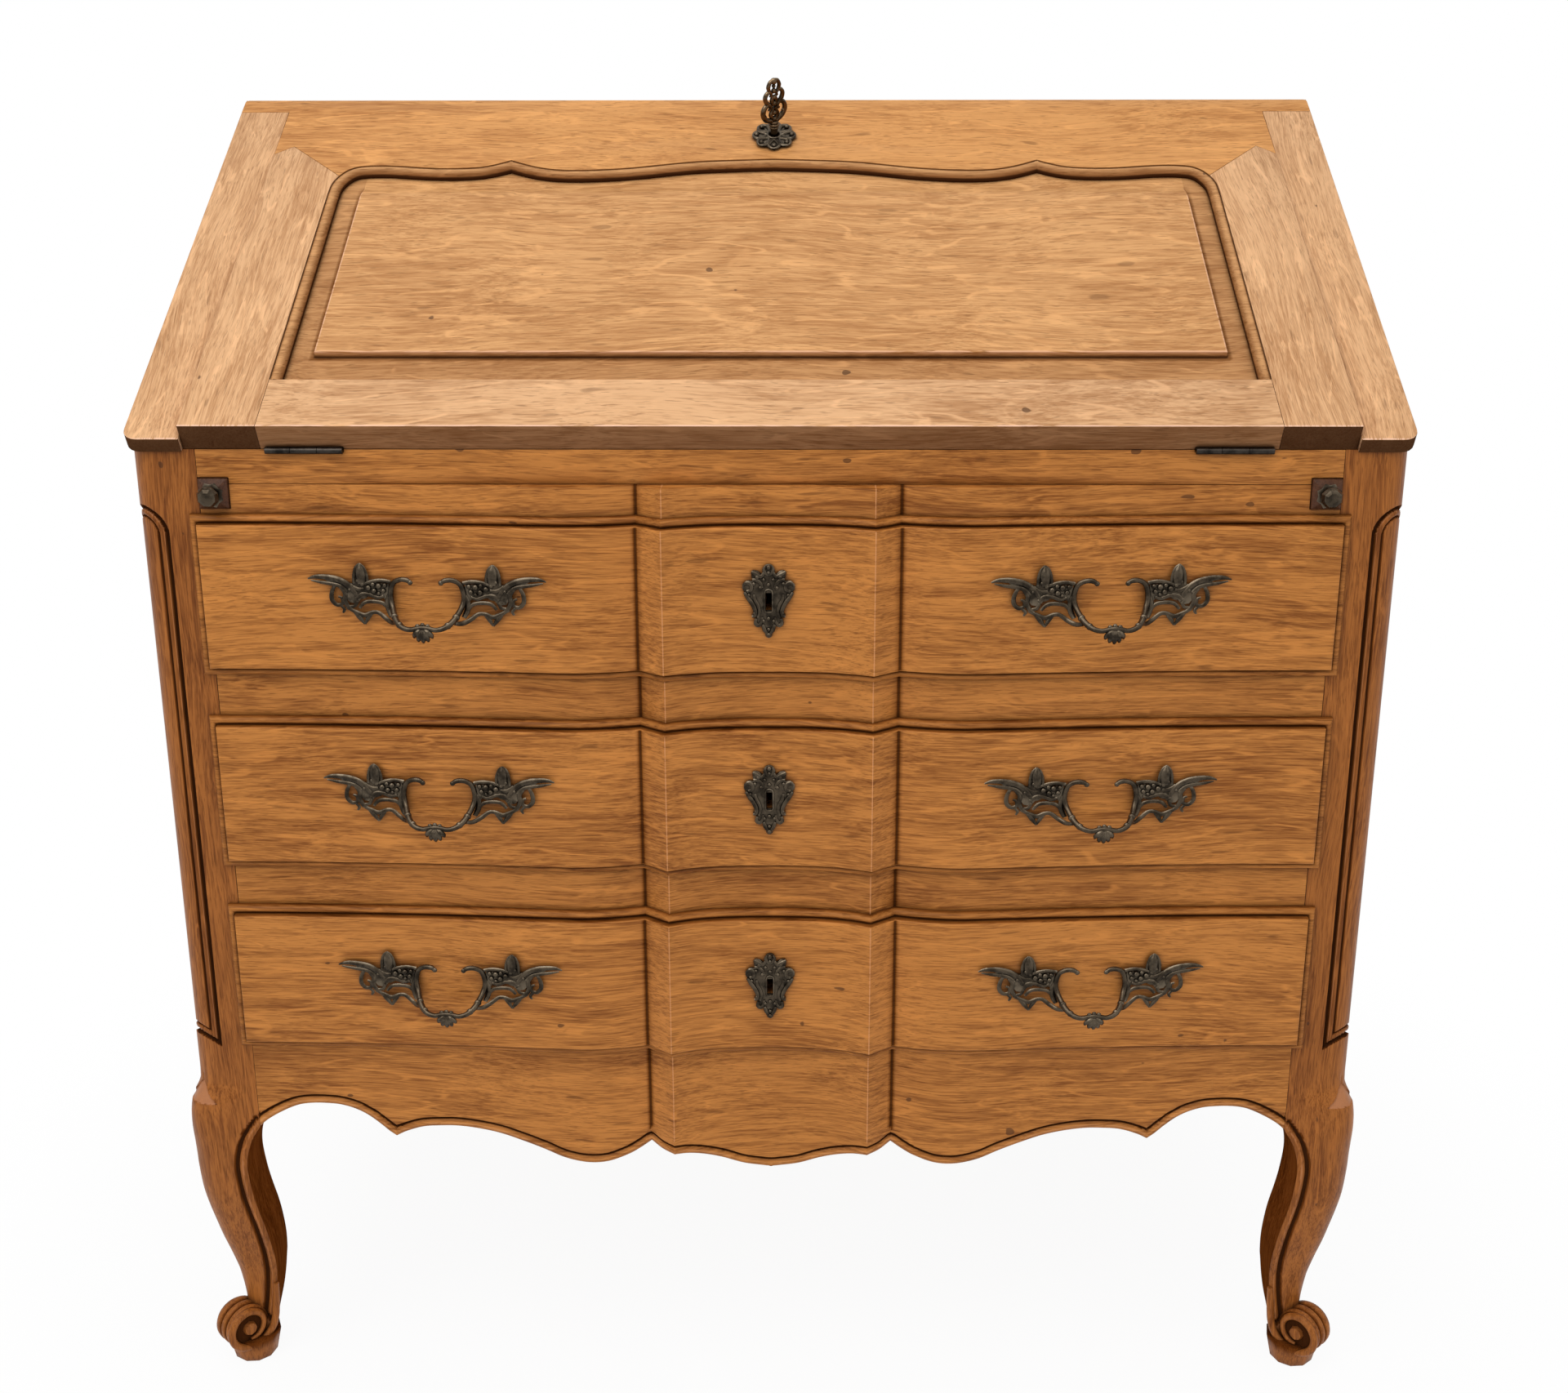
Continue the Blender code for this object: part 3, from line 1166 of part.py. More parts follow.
def key():
    axis = empty("key_axis", lid_axis, (0, KEY_U, 0))
    axis.rotation_euler = (0, 0, KEY_TURN)
    bpy.context.view_layer.update()
    wall = (LID_LOCK_THICK - KEY_BIT) / 2
    start = LID_UNDER + wall
    collar = LID_OUTER + KEY_NECK
    obj = cylinder("key", axis, KEY_SHAFT_R, (0, 0, start), (0, 0, collar + BOW_H * 0.1), 16)
    bit = box("bit", axis, (0, -KEY_BIT_THICK / 2, start), (KEY_SHAFT_R + KEY_BIT, KEY_BIT_THICK / 2, start + KEY_BIT))
    half = [(BOW_W / 2 * x, collar + BOW_H * z) for x, z in BOW_SHARES]
    outline = half + [(-x, z) for x, z in reversed(half)]
    outlines = [outline]
    for hand in (-1, 1):
        for table in (BOW_HOLE_SHARES, BOW_EYE_SHARES):
            outlines.append([(hand * BOW_W / 2 * x, collar + BOW_H * z) for x, z in table])
    bow_plate = prism("bow", axis, outlines, "XZ", -BOW_THICK / 2, BOW_THICK / 2)
    join(obj, [bit, bow_plate])
    return finish(obj, "bronze")


def rosette():
    seat = LID_OUTER + GAP
    outline = []
    lobes = 8
    for i in range(lobes * 4):
        angle = 2 * math.pi * i / (lobes * 4)
        radius = ROSETTE_R * (1 - LOBE_SHARE + LOBE_SHARE * math.cos(lobes * angle))
        outline.append((radius * math.cos(angle), KEY_U + radius * math.sin(angle)))
    hole_r = KEY_SHAFT_R + GAP * 3
    hole = [(hole_r * math.cos(2 * math.pi * i / 16), KEY_U + hole_r * math.sin(2 * math.pi * i / 16))
            for i in range(16)]
    obj = prism("lid_rosette", lid_axis, [outline, hole], "XY", seat, seat + ROSETTE_THICK)
    return finish(obj, "bronze")


lid_lock()
key()
rosette()


# Fittings behind the lid: pigeonholes over two small drawers

def gallery():
    half = SIDE_IN_X - GAP * 2
    low_z = BED_Z + GAP
    shelf_z = low_z + GALLERY_BOARD + SMALL_BAY_H
    high_z = TOP_LOW_Z - GAP * 2
    back = GALLERY_BACK_Y - GAP * 2
    board = GALLERY_BOARD
    slope_y = AXIS_Y + ((high_z + LID_CLEAR - AXIS_Z) * math.cos(LID_SLOPE) - LID_UNDER) / math.sin(LID_SLOPE)
    wall = [(GALLERY_FRONT_Y, low_z), (back, low_z), (back, high_z), (slope_y, high_z),
            (GALLERY_STEP_Y, under_lid_z(GALLERY_STEP_Y) - LID_CLEAR), (GALLERY_STEP_Y, shelf_z + board),
            (GALLERY_FRONT_Y, shelf_z + board)]
    let_in = board / 2
    obj = box("gallery", root, (-half, GALLERY_FRONT_Y, low_z), (half, back, low_z + board))
    pieces = [box("shelf", root, (-half + let_in, GALLERY_FRONT_Y, shelf_z),
                  (half - let_in, back - let_in, shelf_z + board)),
              box("back", root, (-half + let_in, back - board, low_z + let_in), (half - let_in, back, high_z))]
    for _, side in SIDES:
        outer = sorted((side * half, side * (half - board)))
        pieces.append(prism("wall", root, [wall], "YZ", *outer))
        inner = sorted((side * SMALL_DRAWER_INNER_X, side * (SMALL_DRAWER_INNER_X - board)))
        pieces.append(box("lower", root, (inner[0], GALLERY_FRONT_Y, low_z + let_in),
                          (inner[1], back - let_in, shelf_z + let_in)))
    upper = [(GALLERY_STEP_Y, shelf_z + let_in), (back - let_in, shelf_z + let_in), (back - let_in, high_z)] + wall[3:5]
    for share in (-0.5, 0, 0.5):
        x = half * share
        pieces.append(prism("partition", root, [upper], "YZ", x - board / 2, x + board / 2))
    join(obj, pieces)
    return finish(obj, "walnut")


def small_drawer(word, side):
    low_z = BED_Z + GAP + GALLERY_BOARD + GAP
    high_z = low_z + SMALL_BAY_H - GAP * 2
    near = SMALL_DRAWER_INNER_X + GAP * 2
    far = SIDE_IN_X - GAP * 4 - GALLERY_BOARD
    back = GALLERY_BACK_Y - GALLERY_BOARD - GAP * 4
    x = side * (near + far) / 2
    half = (far - near) / 2
    slide = empty("small_drawer_%s_slide" % word, root, (x, GALLERY_FRONT_Y, (low_z + high_z) / 2))
    half_h = (high_z - low_z) / 2
    obj = box("small_drawer_" + word, slide, (-half, 0, -half_h), (half, back - GALLERY_FRONT_Y, half_h))
    hollow = box("hollow", slide, (-half + SMALL_WALL, SMALL_FRONT, -half_h + SMALL_WALL),
                 (half - SMALL_WALL, back - GALLERY_FRONT_Y - SMALL_WALL, half_h + OVERRUN))
    cut(obj, [hollow])
    neck = cylinder("neck", slide, SMALL_KNOB_R / 2, (0, SMALL_FRONT / 2, 0), (0, -SMALL_KNOB_R, 0), 12)
    bm = bmesh.new()
    bmesh.ops.create_uvsphere(bm, u_segments=12, v_segments=8, radius=SMALL_KNOB_R,
                              matrix=Matrix.Translation((0, -SMALL_KNOB_REACH + SMALL_KNOB_R, 0)))
    ball = bmesh_object("ball", bm, slide)
    join(obj, [neck, ball])
    return finish(obj, "walnut")


gallery()
for word, side in SIDES:
    small_drawer(word, side)

bpy.context.view_layer.update()

# The whole desk is centred on the world origin, standing on the floor
bpy.context.view_layer.update()
reach = [obj.matrix_world @ vert.co for obj in PARTS.objects if obj.type == "MESH" for vert in obj.data.vertices]
root.location.y = -(min(point.y for point in reach) + max(point.y for point in reach)) / 2
bpy.context.view_layer.update()
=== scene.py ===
"""Dresses the slant-front desk: waxed walnut boards, cast bronze fittings, studio floor and camera."""

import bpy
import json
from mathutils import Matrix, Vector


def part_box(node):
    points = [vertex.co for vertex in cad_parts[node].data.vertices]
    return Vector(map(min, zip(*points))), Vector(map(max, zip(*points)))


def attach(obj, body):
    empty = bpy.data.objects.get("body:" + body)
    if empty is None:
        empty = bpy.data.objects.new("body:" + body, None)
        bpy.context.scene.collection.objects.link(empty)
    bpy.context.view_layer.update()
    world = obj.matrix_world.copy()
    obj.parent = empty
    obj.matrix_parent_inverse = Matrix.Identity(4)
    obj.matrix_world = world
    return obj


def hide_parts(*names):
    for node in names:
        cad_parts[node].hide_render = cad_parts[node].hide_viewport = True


bl_info = {
    "name": "Slant-Front Desk",
    "version": (1, 0, 0),
    "blender": (4, 5, 0),
    "location": "View3D > Sidebar > Desk",
    "description": "Builds the visible surfaces of a serpentine slant-front desk over its packed model",
    "category": "Add Mesh",
}

import json
import math
from operator import mul
import bpy
import bmesh
from mathutils import Matrix, Vector

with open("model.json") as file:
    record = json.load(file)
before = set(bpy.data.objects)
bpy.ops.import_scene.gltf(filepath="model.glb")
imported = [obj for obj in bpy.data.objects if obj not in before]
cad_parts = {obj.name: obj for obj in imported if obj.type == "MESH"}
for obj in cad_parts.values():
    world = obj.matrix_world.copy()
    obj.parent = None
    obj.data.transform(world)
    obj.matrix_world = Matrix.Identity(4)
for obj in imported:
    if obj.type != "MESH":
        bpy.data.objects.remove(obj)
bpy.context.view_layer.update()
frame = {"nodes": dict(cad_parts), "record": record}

MM = 0.001
SIDES = (("left", -1), ("right", 1))
DRAWERS = ("drawer_1", "drawer_2", "drawer_3")
JOINTS = {joint["name"]: joint for joint in frame["record"]["behaviour"]["joints"]}


def low(node):
    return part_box(node)[0]


def high(node):
    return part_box(node)[1]


def middle(node):
    return (low(node) + high(node)) / 2


def clamp(value):
    return max(0.0, min(1.0, value))


def hermite(t, start, start_slope, end, end_slope):
    """A smooth value between two rows, with its slope at each of them."""
    return ((2 * t ** 3 - 3 * t ** 2 + 1) * start + (t ** 3 - 2 * t ** 2 + t) * start_slope
            + (-2 * t ** 3 + 3 * t ** 2) * end + (t ** 3 - t ** 2) * end_slope)


def line_distance(x, y, line, reach=math.inf):
    """Distance from a place to a line of points, leaving out the spans that start past the reach both ways."""
    best = 1e9
    for (xa, ya), (xb, yb) in zip(line, line[1:]):
        if min(abs(xa - x), abs(ya - y)) > reach:
            continue
        dx, dy = xb - xa, yb - ya
        t = clamp(((x - xa) * dx + (y - ya) * dy) / (dx * dx + dy * dy))
        best = min(best, math.hypot(x - xa - dx * t, y - ya - dy * t))
    return best


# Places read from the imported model
FRONT_Y = low("writing_bed").y
HALF_W = high("right_side_frame").x + 0.5 * MM
POST_W = HALF_W - low("right_front_post").x
FRONT_HALF = HALF_W - POST_W
LID_AT = Vector(JOINTS["lid_hinge"]["pos_m"])
LID_ALONG = Vector(JOINTS["lid_bolt_slide"]["axis"]).normalized()
LID_UP = Vector(JOINTS["key_turn"]["axis"]).normalized()
LID_FRAME = Matrix.Translation(LID_AT) @ Matrix((
    (1, 0, 0, 0), (0, LID_ALONG.y, LID_UP.y, 0), (0, LID_ALONG.z, LID_UP.z, 0), (0, 0, 0, 1)))
# The lid's inner and outer faces, from the plane of its hinges
LID_UNDER_V = -0.7 * MM
LID_OUTER_V = 19.9 * MM
KEY_AT = Vector(JOINTS["key_turn"]["pos_m"])
KEY_U = (KEY_AT - LID_AT).dot(LID_ALONG)


# Sizes and colours a user may change

def tint(name, description, default):
    return bpy.props.FloatVectorProperty(name=name, description=description, subtype="COLOR", default=default)


def rounding(name, description, default):
    return bpy.props.FloatProperty(
        name=name, description=description, default=default, subtype="DISTANCE", unit="LENGTH")


def power(name, description, default):
    return bpy.props.FloatProperty(
        name=name, description=description, default=default, subtype="POWER", unit="POWER")


class DeskWood(bpy.types.PropertyGroup):
    front_light: tint("Front light", "Pale streaks of the carcass and drawer fronts", (0.535, 0.208, 0.046))
    front_dark: tint("Front dark", "Dark streaks of the carcass and drawer fronts", (0.225, 0.070, 0.012))
    lid_light: tint("Lid light", "Pale streaks of the lid", (0.665, 0.345, 0.137))
    lid_dark: tint("Lid dark", "Dark streaks of the lid", (0.425, 0.188, 0.062))
    # the glaze colour also paints the shade in hollows, creases and shadowed faces
    glaze_and_shade: tint("Glaze", "Stain that lies in grooves and along mouldings", (0.060, 0.021, 0.008))
    oak_light: tint("Inner light", "Pale streaks of the bare inner wood", (0.56, 0.39, 0.22))
    oak_dark: tint("Inner dark", "Dark streaks of the bare inner wood", (0.38, 0.24, 0.12))
    softness: rounding("Edge softness", "Radius that wear has given the rear posts", 0.8 * MM)
    seam: rounding("Seam softness", "Radius of the edges where two boards of the lid meet", 0.25 * MM)


class DeskMetal(bpy.types.PropertyGroup):
    patina: tint("Patina", "Dark brown of the aged bronze", (0.062, 0.046, 0.030))
    # the rubbed colour is also that of the painted highlight on faces turned up
    rubbed_and_highlit: tint("Rubbed bronze", "Bright bronze where hands have rubbed it", (0.42, 0.34, 0.24))
    steel: tint("Old steel", "Locks and hinges", (0.030, 0.025, 0.021))


class DeskStage(bpy.types.PropertyGroup):
    key_light: power("Key light", "Power of the large soft light", 31.0)
    fill_light: power("Fill light", "Power of the soft light from the other side", 9.0)
    top_light: power("Top light", "Power of the soft light overhead", 31.0)
    sky: bpy.props.FloatProperty(
        name="Sky", description="Strength of the even light from all round", default=0.50, min=0.0)
    lens: bpy.props.FloatProperty(
        name="Lens", description="Focal length on a sensor 36 mm wide, in millimetres", default=42.75)


# Materials

def nodes_of(name):
    mat = bpy.data.materials.new(name)
    mat.use_nodes = True
    tree = mat.node_tree
    return mat, tree, tree.nodes["Principled BSDF"]


class Wiring:
    """Short names for adding, filling and joining nodes."""

    def __init__(self, tree):
        self.tree = tree

    def add(self, kind, **values):
        node = self.tree.nodes.new(kind)
        for key, value in values.items():
            setattr(node, key, value)
        return node

    def join(self, value, socket):
        """Link an output to the socket, or set the socket's own value."""
        if isinstance(value, bpy.types.NodeSocket):
            self.tree.links.new(value, socket)
        else:
            socket.default_value = value

    def fill(self, node, **values):
        """Join values to the sockets of these names."""
        for name, value in values.items():
            self.join(value, node.inputs[name.replace("_", " ")])
        return node

    def math(self, operation, *values, kind="ShaderNodeMath"):
        node = self.add(kind, operation=operation)
        for socket, value in zip(node.inputs, values):
            self.join(value, socket)
        return node.outputs[0]

    def vector(self, operation, *values):
        return self.math(operation, *values, kind="ShaderNodeVectorMath")

    def times(self, product, *factors):
        for factor in factors:
            product = self.math("MULTIPLY", product, factor)
        return product

    def plus(self, first, factor, second):
        """The first value times the factor, plus the second."""
        return self.math("MULTIPLY_ADD", first, factor, second)

    def mix(self, factor, first, second, blend="MIX"):
        node = self.add("ShaderNodeMix", data_type="RGBA", blend_type=blend)
        for index, value in ((0, factor), (6, first), (7, second)):
            self.join((*value, 1.0) if isinstance(value, tuple) else value, node.inputs[index])
        return node.outputs[2]

    def ramp(self, factor, start, end):
        node = self.add("ShaderNodeMapRange", interpolation_type="SMOOTHSTEP")
        return self.fill(node, From_Min=start, From_Max=end, Value=factor).outputs[0]

    def noise(self, vector, scale, detail=2.0, roughness=0.5, distortion=0.0):
        node = self.fill(self.add("ShaderNodeTexNoise"), Vector=vector, Scale=scale, Detail=detail,
                         Roughness=roughness, Distortion=distortion)
        return node.outputs["Fac"]

    def mapping(self, vector, **values):
        return self.fill(self.add("ShaderNodeMapping"), Vector=vector, **values).outputs[0]

    def hollow(self, distance, start, end):
        """How closely a place is shut in by its surroundings."""
        node = self.fill(self.add("ShaderNodeAmbientOcclusion", samples=6), Distance=distance)
        return self.ramp(node.outputs["AO"], start, end)

    def bump(self, height, strength, distance):
        return self.fill(self.add("ShaderNodeBump"), Strength=strength, Distance=distance, Height=height).outputs[0]


GRAIN_TURNS = {
    "across": (0, math.pi / 2, 0),
    "upright": (0, 0, 0),
    "deep": (math.pi / 2, 0, 0),
    "slope": (math.pi / 2 - math.atan2(LID_ALONG.z, LID_ALONG.y), 0, 0),
}
ACROSS_FLATTENED = (1, 0.22, 1)
BOARDS_APART = 7.3


def tinted(colour, factors):
    return tuple(map(mul, colour, factors))


def wood(name, light, dark, glaze_and_shade, grain, wax=0.40, figure=1.0):
    """Waxed, glazed wood, with painted shade in its hollows and the painted light and stain that its mesh carries. The
    grain runs across, upright, deep or up the slope of the lid.
    """
    mat, tree, shader = nodes_of(name)
    w = Wiring(tree)
    board = w.add("ShaderNodeAttribute", attribute_name="board")
    place = w.add("ShaderNodeTexCoord").outputs["Object"]
    if grain == "across":
        place = w.mapping(place, Scale=ACROSS_FLATTENED)
    shift = w.fill(w.add("ShaderNodeVectorMath", operation="SCALE"), Vector=board.outputs["Vector"],
                   Scale=BOARDS_APART)
    moved = w.vector("ADD", w.mapping(place, Rotation=GRAIN_TURNS[grain]), shift.outputs[0])

    def stretched(along, source=moved):
        """The place, drawn out along the grain."""
        return w.mapping(source, Scale=(1, 1, along))
    sway = w.noise(stretched(0.42), 7.0).node.outputs["Color"]
    bent = w.vector("MULTIPLY_ADD", w.vector("SUBTRACT", sway, (0.5, 0.5, 0.5)), (0.034 * figure,) * 3, moved)

    def grained(along, *values):
        """Noise that follows the swaying grain."""
        return w.noise(stretched(along, bent), *values)
    # what the tone is made of: year rings, then bands, streaks, fine and hair lines, and blotches
    rings = w.plus(w.math("SINE", w.times(grained(0.12, 12.0, 2.0, 0.45, 0.3), 74.0)), 0.5, 0.5)
    streaks = grained(0.055, 150.0, 3.0, 0.6)
    fine = grained(0.04, 560.0, 3.0, 0.62)
    blotches = w.noise(stretched(0.5), 10.0, 3.0, 0.55)
    tone = w.times(rings, 0.15 * figure)
    for field, start, end, weight in (
            (grained(0.07, 58.0, 3.0, 0.55), 0.36, 0.64, 0.13), (streaks, 0.38, 0.62, 0.17),
            (fine, 0.40, 0.60, 0.34), (grained(0.03, 1500.0, 2.0, 0.6), 0.38, 0.62, 0.30),
            (blotches, 0.36, 0.66, 0.20)):
        tone = w.plus(w.ramp(field, start, end), weight, tone)
    tone = w.plus(tone, 1.42, -0.28)
    tone = w.plus(w.math("SUBTRACT", board.outputs["Fac"], 0.5), 0.14, tone)
    colour = w.mix(tone, dark, light)
    # pale threads and curl
    curl = grained(0.33, 85.0, 2.0, 0.5, 1.3)
    threads = w.math("ABSOLUTE", w.math("SUBTRACT", grained(0.11, 62.0, 1.5, 0.5, 0.5), 0.5))
    silk = w.math("MAXIMUM", w.times(w.ramp(threads, 0.030, 0.004), w.ramp(curl, 0.40, 0.56), 0.55),
                  w.times(w.ramp(curl, 0.58, 0.76), 0.22 * figure))
    colour = w.mix(silk, colour, tuple(min(1.0, 1.25 * c) for c in light))
    # pores, specks and dashes
    dull = tuple(0.5 * c for c in dark)
    pores = w.ramp(grained(0.055, 1250.0, 1.0, 0.5), 0.60, 0.70)
    specks = w.ramp(w.noise(stretched(0.55), 95.0, 1.0, 0.4), 0.79, 0.81)
    dashes = w.ramp(grained(0.14, 210.0, 1.0, 0.4), 0.72, 0.79)
    for mask, strength, shade in ((pores, 0.42, dull), (specks, 0.7, glaze_and_shade), (dashes, 0.5, dull)):
        colour = w.mix(w.times(mask, strength), colour, shade)
    # glaze and painted shade in the hollows; where the mesh's marks are above nought they darken it with stain, glaze
    # and painted shade, and below nought they pale it with wear and painted highlights
    wobble = w.plus(blotches, 0.5, 0.62)
    colour = w.mix(w.times(w.hollow(9 * MM, 0.88, 0.30), w.times(wobble, 0.72)), colour, glaze_and_shade)
    stain_and_painted_light = w.add("ShaderNodeAttribute", attribute_name="stain_and_painted_light").outputs["Fac"]
    colour = w.mix(w.ramp(stain_and_painted_light, 0.0, 0.5), colour, (0.47, 0.40, 0.36), "MULTIPLY")
    colour = w.mix(w.times(w.ramp(stain_and_painted_light, 0.5, 1.0), 0.92), colour, tuple(0.6 * c for c in glaze_and_shade))
    # pale wear, and painted highlights where the mesh marks bead crests, facets and sharp corners
    rubbed_and_highlit = w.times(w.ramp(stain_and_painted_light, -0.05, -0.7), w.ramp(fine, 0.36, 0.50))
    rubbed_and_highlit = w.math("MAXIMUM", rubbed_and_highlit, w.ramp(stain_and_painted_light, -0.9, -1.0))
    wear_and_highlight_pale = tuple(min(1.0, c + 0.05) for c in tinted(light, (1.18, 1.25, 1.75)))
    colour = w.mix(w.times(rubbed_and_highlit, 0.75), colour, wear_and_highlight_pale)
    height = w.math("SUBTRACT", w.plus(fine, 0.35, w.times(streaks, 0.9)), w.times(pores, 0.5))
    height = w.plus(w.noise(moved, 26.0), 1.6, height)
    height = w.math("SUBTRACT", height, w.times(specks, 1.6))
    w.fill(shader, Base_Color=colour, Roughness=w.plus(pores, 0.18, w.plus(streaks, 0.22, wax - 0.10)),
           Specular_IOR_Level=w.plus(w.ramp(stain_and_painted_light, 0.1, 0.5), -0.15, 0.15),
           Normal=w.bump(height, 0.35, 0.35 * MM))
    return mat


def bronze(name, patina, rubbed_and_highlit, roughness=0.40, wear_and_highlight=0.85):
    """Aged cast metal, dark in its hollows and bright where it stands out, with painted top light: lighter where it
    faces up and darker where it faces down.
    """
    mat, tree, shader = nodes_of(name)
    w = Wiring(tree)
    place = w.add("ShaderNodeTexCoord")
    grains = w.noise(place.outputs["Object"], 900.0, 3.0, 0.6)
    clouds = w.noise(place.outputs["Object"], 120.0, 3.0, 0.6)
    facing = w.fill(w.add("ShaderNodeSeparateXYZ"), Vector=place.outputs["Normal"])
    # painted top light: faces turned up are made lighter and faces turned down darker
    painted_top_light = w.ramp(facing.outputs["Z"], -0.15, 0.75)
    shade = w.plus(w.ramp(clouds, 0.35, 0.68), 0.45, w.times(painted_top_light, 0.6))
    colour = w.mix(shade, tuple(0.32 * c for c in patina), tuple(1.9 * c for c in patina))
    point = w.add("ShaderNodeNewGeometry").outputs["Pointiness"]
    # rubbed raised edges, brighter where they face up as a painted highlight
    edge = w.times(w.ramp(point, 0.53, 0.62), w.ramp(clouds, 0.34, 0.56), w.plus(painted_top_light, 0.75, 0.25))
    colour = w.mix(w.times(edge, 0.75 * wear_and_highlight), colour, rubbed_and_highlit)
    colour = w.mix(w.times(w.hollow(5 * MM, 0.90, 0.42), 0.92), colour, (0.007, 0.005, 0.003))
    w.fill(shader, Base_Color=colour, Metallic=0.90, Specular_IOR_Level=0.45,
           Roughness=w.plus(grains, 0.22, roughness - 0.22),
           Normal=w.bump(w.plus(clouds, 1.4, w.times(grains, 0.4)), 0.5, 0.25 * MM))
    return mat


MATERIALS = {}


def finish_named(name):
    """The material of this name, made when first asked for."""
    if name not in MATERIALS:
        MATERIALS[name] = new_finish(name)
    return MATERIALS[name]


def new_finish(name):
    tones, metal = bpy.context.scene.desk_wood, bpy.context.scene.desk_metal
    glaze_and_shade = tuple(tones.glaze_and_shade)

    def toned(light, dark, factors=(1, 1, 1)):
        return tinted(light, factors), tinted(dark, factors), glaze_and_shade
    front = toned(tones.front_light, tones.front_dark)
    lid = (tones.lid_light, tones.lid_dark)
    oak = (tuple(tones.oak_light), tuple(tones.oak_dark), tuple(0.9 * c for c in tones.oak_dark))
    dark = ((0.105, 0.042, 0.020), (0.045, 0.018, 0.010), (0.015, 0.007, 0.004))
    # light, dark, glaze, grain, dullness of the wax, strength of the figure
    woods = {
        "walnut_across": (*front, "across"),
        "walnut_upright": (*front, "upright"),
        "walnut_post": (*toned(tones.front_light, tones.front_dark, (0.70, 0.61, 0.56)), "upright"),
        "lid_across": (*toned(*lid), "across", 0.42, 1.1),
        "lid_top": (*toned(*lid, (0.97, 0.88, 0.72)), "across", 0.42, 1.1),
        "lid_low": (*toned(*lid, (1.10, 1.22, 1.55)), "across", 0.42, 1.1),
        "lid_slope": (*toned(*lid, (1.10, 1.22, 1.55)), "slope", 0.42, 1.1),
        "oak_deep": (*oak, "deep", 0.62),
        "oak_upright": (*oak, "upright", 0.62),
        "stained_dark": (*dark, "deep", 0.34),
    }
    # dark, bright, roughness, wear and its painted highlight
    metals = {
        "bronze": (tuple(metal.patina), tuple(metal.rubbed_and_highlit)),
        "key_bronze": ((0.085, 0.050, 0.024), (0.62, 0.44, 0.26), 0.34),
        "old_steel": (tuple(metal.steel), (0.20, 0.17, 0.14), 0.50, 0.4),
    }
    return wood(name, *woods[name]) if name in woods else bronze(name, *metals[name])


# Mesh work

BOARD_COUNT = [0]


def board_value():
    """A different place in the wood for each board, the same on every run."""
    BOARD_COUNT[0] += 1
    return (BOARD_COUNT[0] * 0.618034) % 1.0


def mark(bm):
    """Give the vertices their place in the wood, and room for stain and painted light if they have none."""
    layers = bm.verts.layers.float
    board = layers.new("board")
    if not layers.get("stain_and_painted_light"):
        layers.new("stain_and_painted_light")
    value = board_value()
    for vert in bm.verts:
        vert[board] = value


def make_piece(name, bm, body, finish, nodes=(), angle=38):
    """Turn a mesh into a finished piece that rides on a body and stands for its CAD nodes."""
    bmesh.ops.recalc_face_normals(bm, faces=bm.faces)
    mesh = bpy.data.meshes.new(name)
    bm.to_mesh(mesh)
    bm.free()
    obj = bpy.data.objects.new(name, mesh)
    bpy.context.scene.collection.objects.link(obj)
    mesh.materials.append(finish_named(finish))
    mesh.shade_smooth()
    mesh.set_sharp_from_angle(angle=math.radians(angle))
    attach(obj, body)
    if nodes:
        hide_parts(*nodes)
    return obj


def node_copy(node):
    """A merged copy of a CAD node's mesh."""
    bm = bmesh.new()
    bm.from_mesh(frame["nodes"][node].data)
    bmesh.ops.remove_doubles(bm, verts=bm.verts, dist=0.002 * MM)
    bmesh.ops.dissolve_limit(bm, angle_limit=math.radians(0.4), verts=bm.verts, edges=bm.edges)
    return bm


def soften(bm, radius, segments=2, shortest=0.0):
    """Round the sharp edges that aren't shorter than the least length."""
    sharp = math.radians(25)
    edges = [e for e in bm.edges
             if len(e.link_faces) == 2 and e.calc_face_angle(0) > sharp and e.calc_length() > shortest]
    if edges:
        bmesh.ops.bevel(bm, geom=edges, offset=radius, segments=segments, profile=0.5, affect="EDGES",
                        clamp_overlap=True)


def worn_board(node, body, finish, radius, segments=2, shortest=0.0):
    """A CAD board with its edges rounded by wear."""
    bm = node_copy(node)
    soften(bm, radius, segments, shortest)
    mark(bm)
    return make_piece(node + "_board", bm, body, finish, (node,))


def place_all(bm, matrix):
    bmesh.ops.transform(bm, matrix=matrix, verts=bm.verts)


def add_box(bm, low_corner, high_corner):
    low_corner, high_corner = Vector(low_corner), Vector(high_corner)
    place = Matrix.Translation((low_corner + high_corner) / 2) @ Matrix.Diagonal((*(high_corner - low_corner), 1))
    bmesh.ops.create_cube(bm, size=1, matrix=place)


def add_cone(bm, sides, radius, far_radius, depth, place):
    """A closed cone or cylinder about its middle, its sizes in mm."""
    bmesh.ops.create_cone(bm, cap_ends=True, segments=sides, radius1=radius * MM, radius2=far_radius * MM,
                          depth=depth * MM, matrix=place)


def cut_across(bm, places, normal=(1, 0, 0)):
    for x in places:
        geometry = bm.verts[:] + bm.edges[:] + bm.faces[:]
        bmesh.ops.bisect_plane(bm, geom=geometry, dist=1e-6, plane_co=Vector(normal) * x, plane_no=normal)


def skin(bm, rings, ends=False):
    """Faces from each ring of vertices to the next, and over the first and last if asked."""
    for first, second in zip(rings, rings[1:]):
        for corners in zip(first, first[1:] + first[:1], second[1:] + second[:1], second):
            bm.faces.new(corners)
    if ends:
        bm.faces.new(rings[0])
        bm.faces.new(rings[-1])


def vertex_maker(bm):
    """A function that adds a vertex at a place, with its stain and painted light."""
    layer = bm.verts.layers.float.new("stain_and_painted_light")

    def add(place, stain_and_painted_light=0.0):
        vert = bm.verts.new(place)
        vert[layer] = stain_and_painted_light
        return vert
    return add


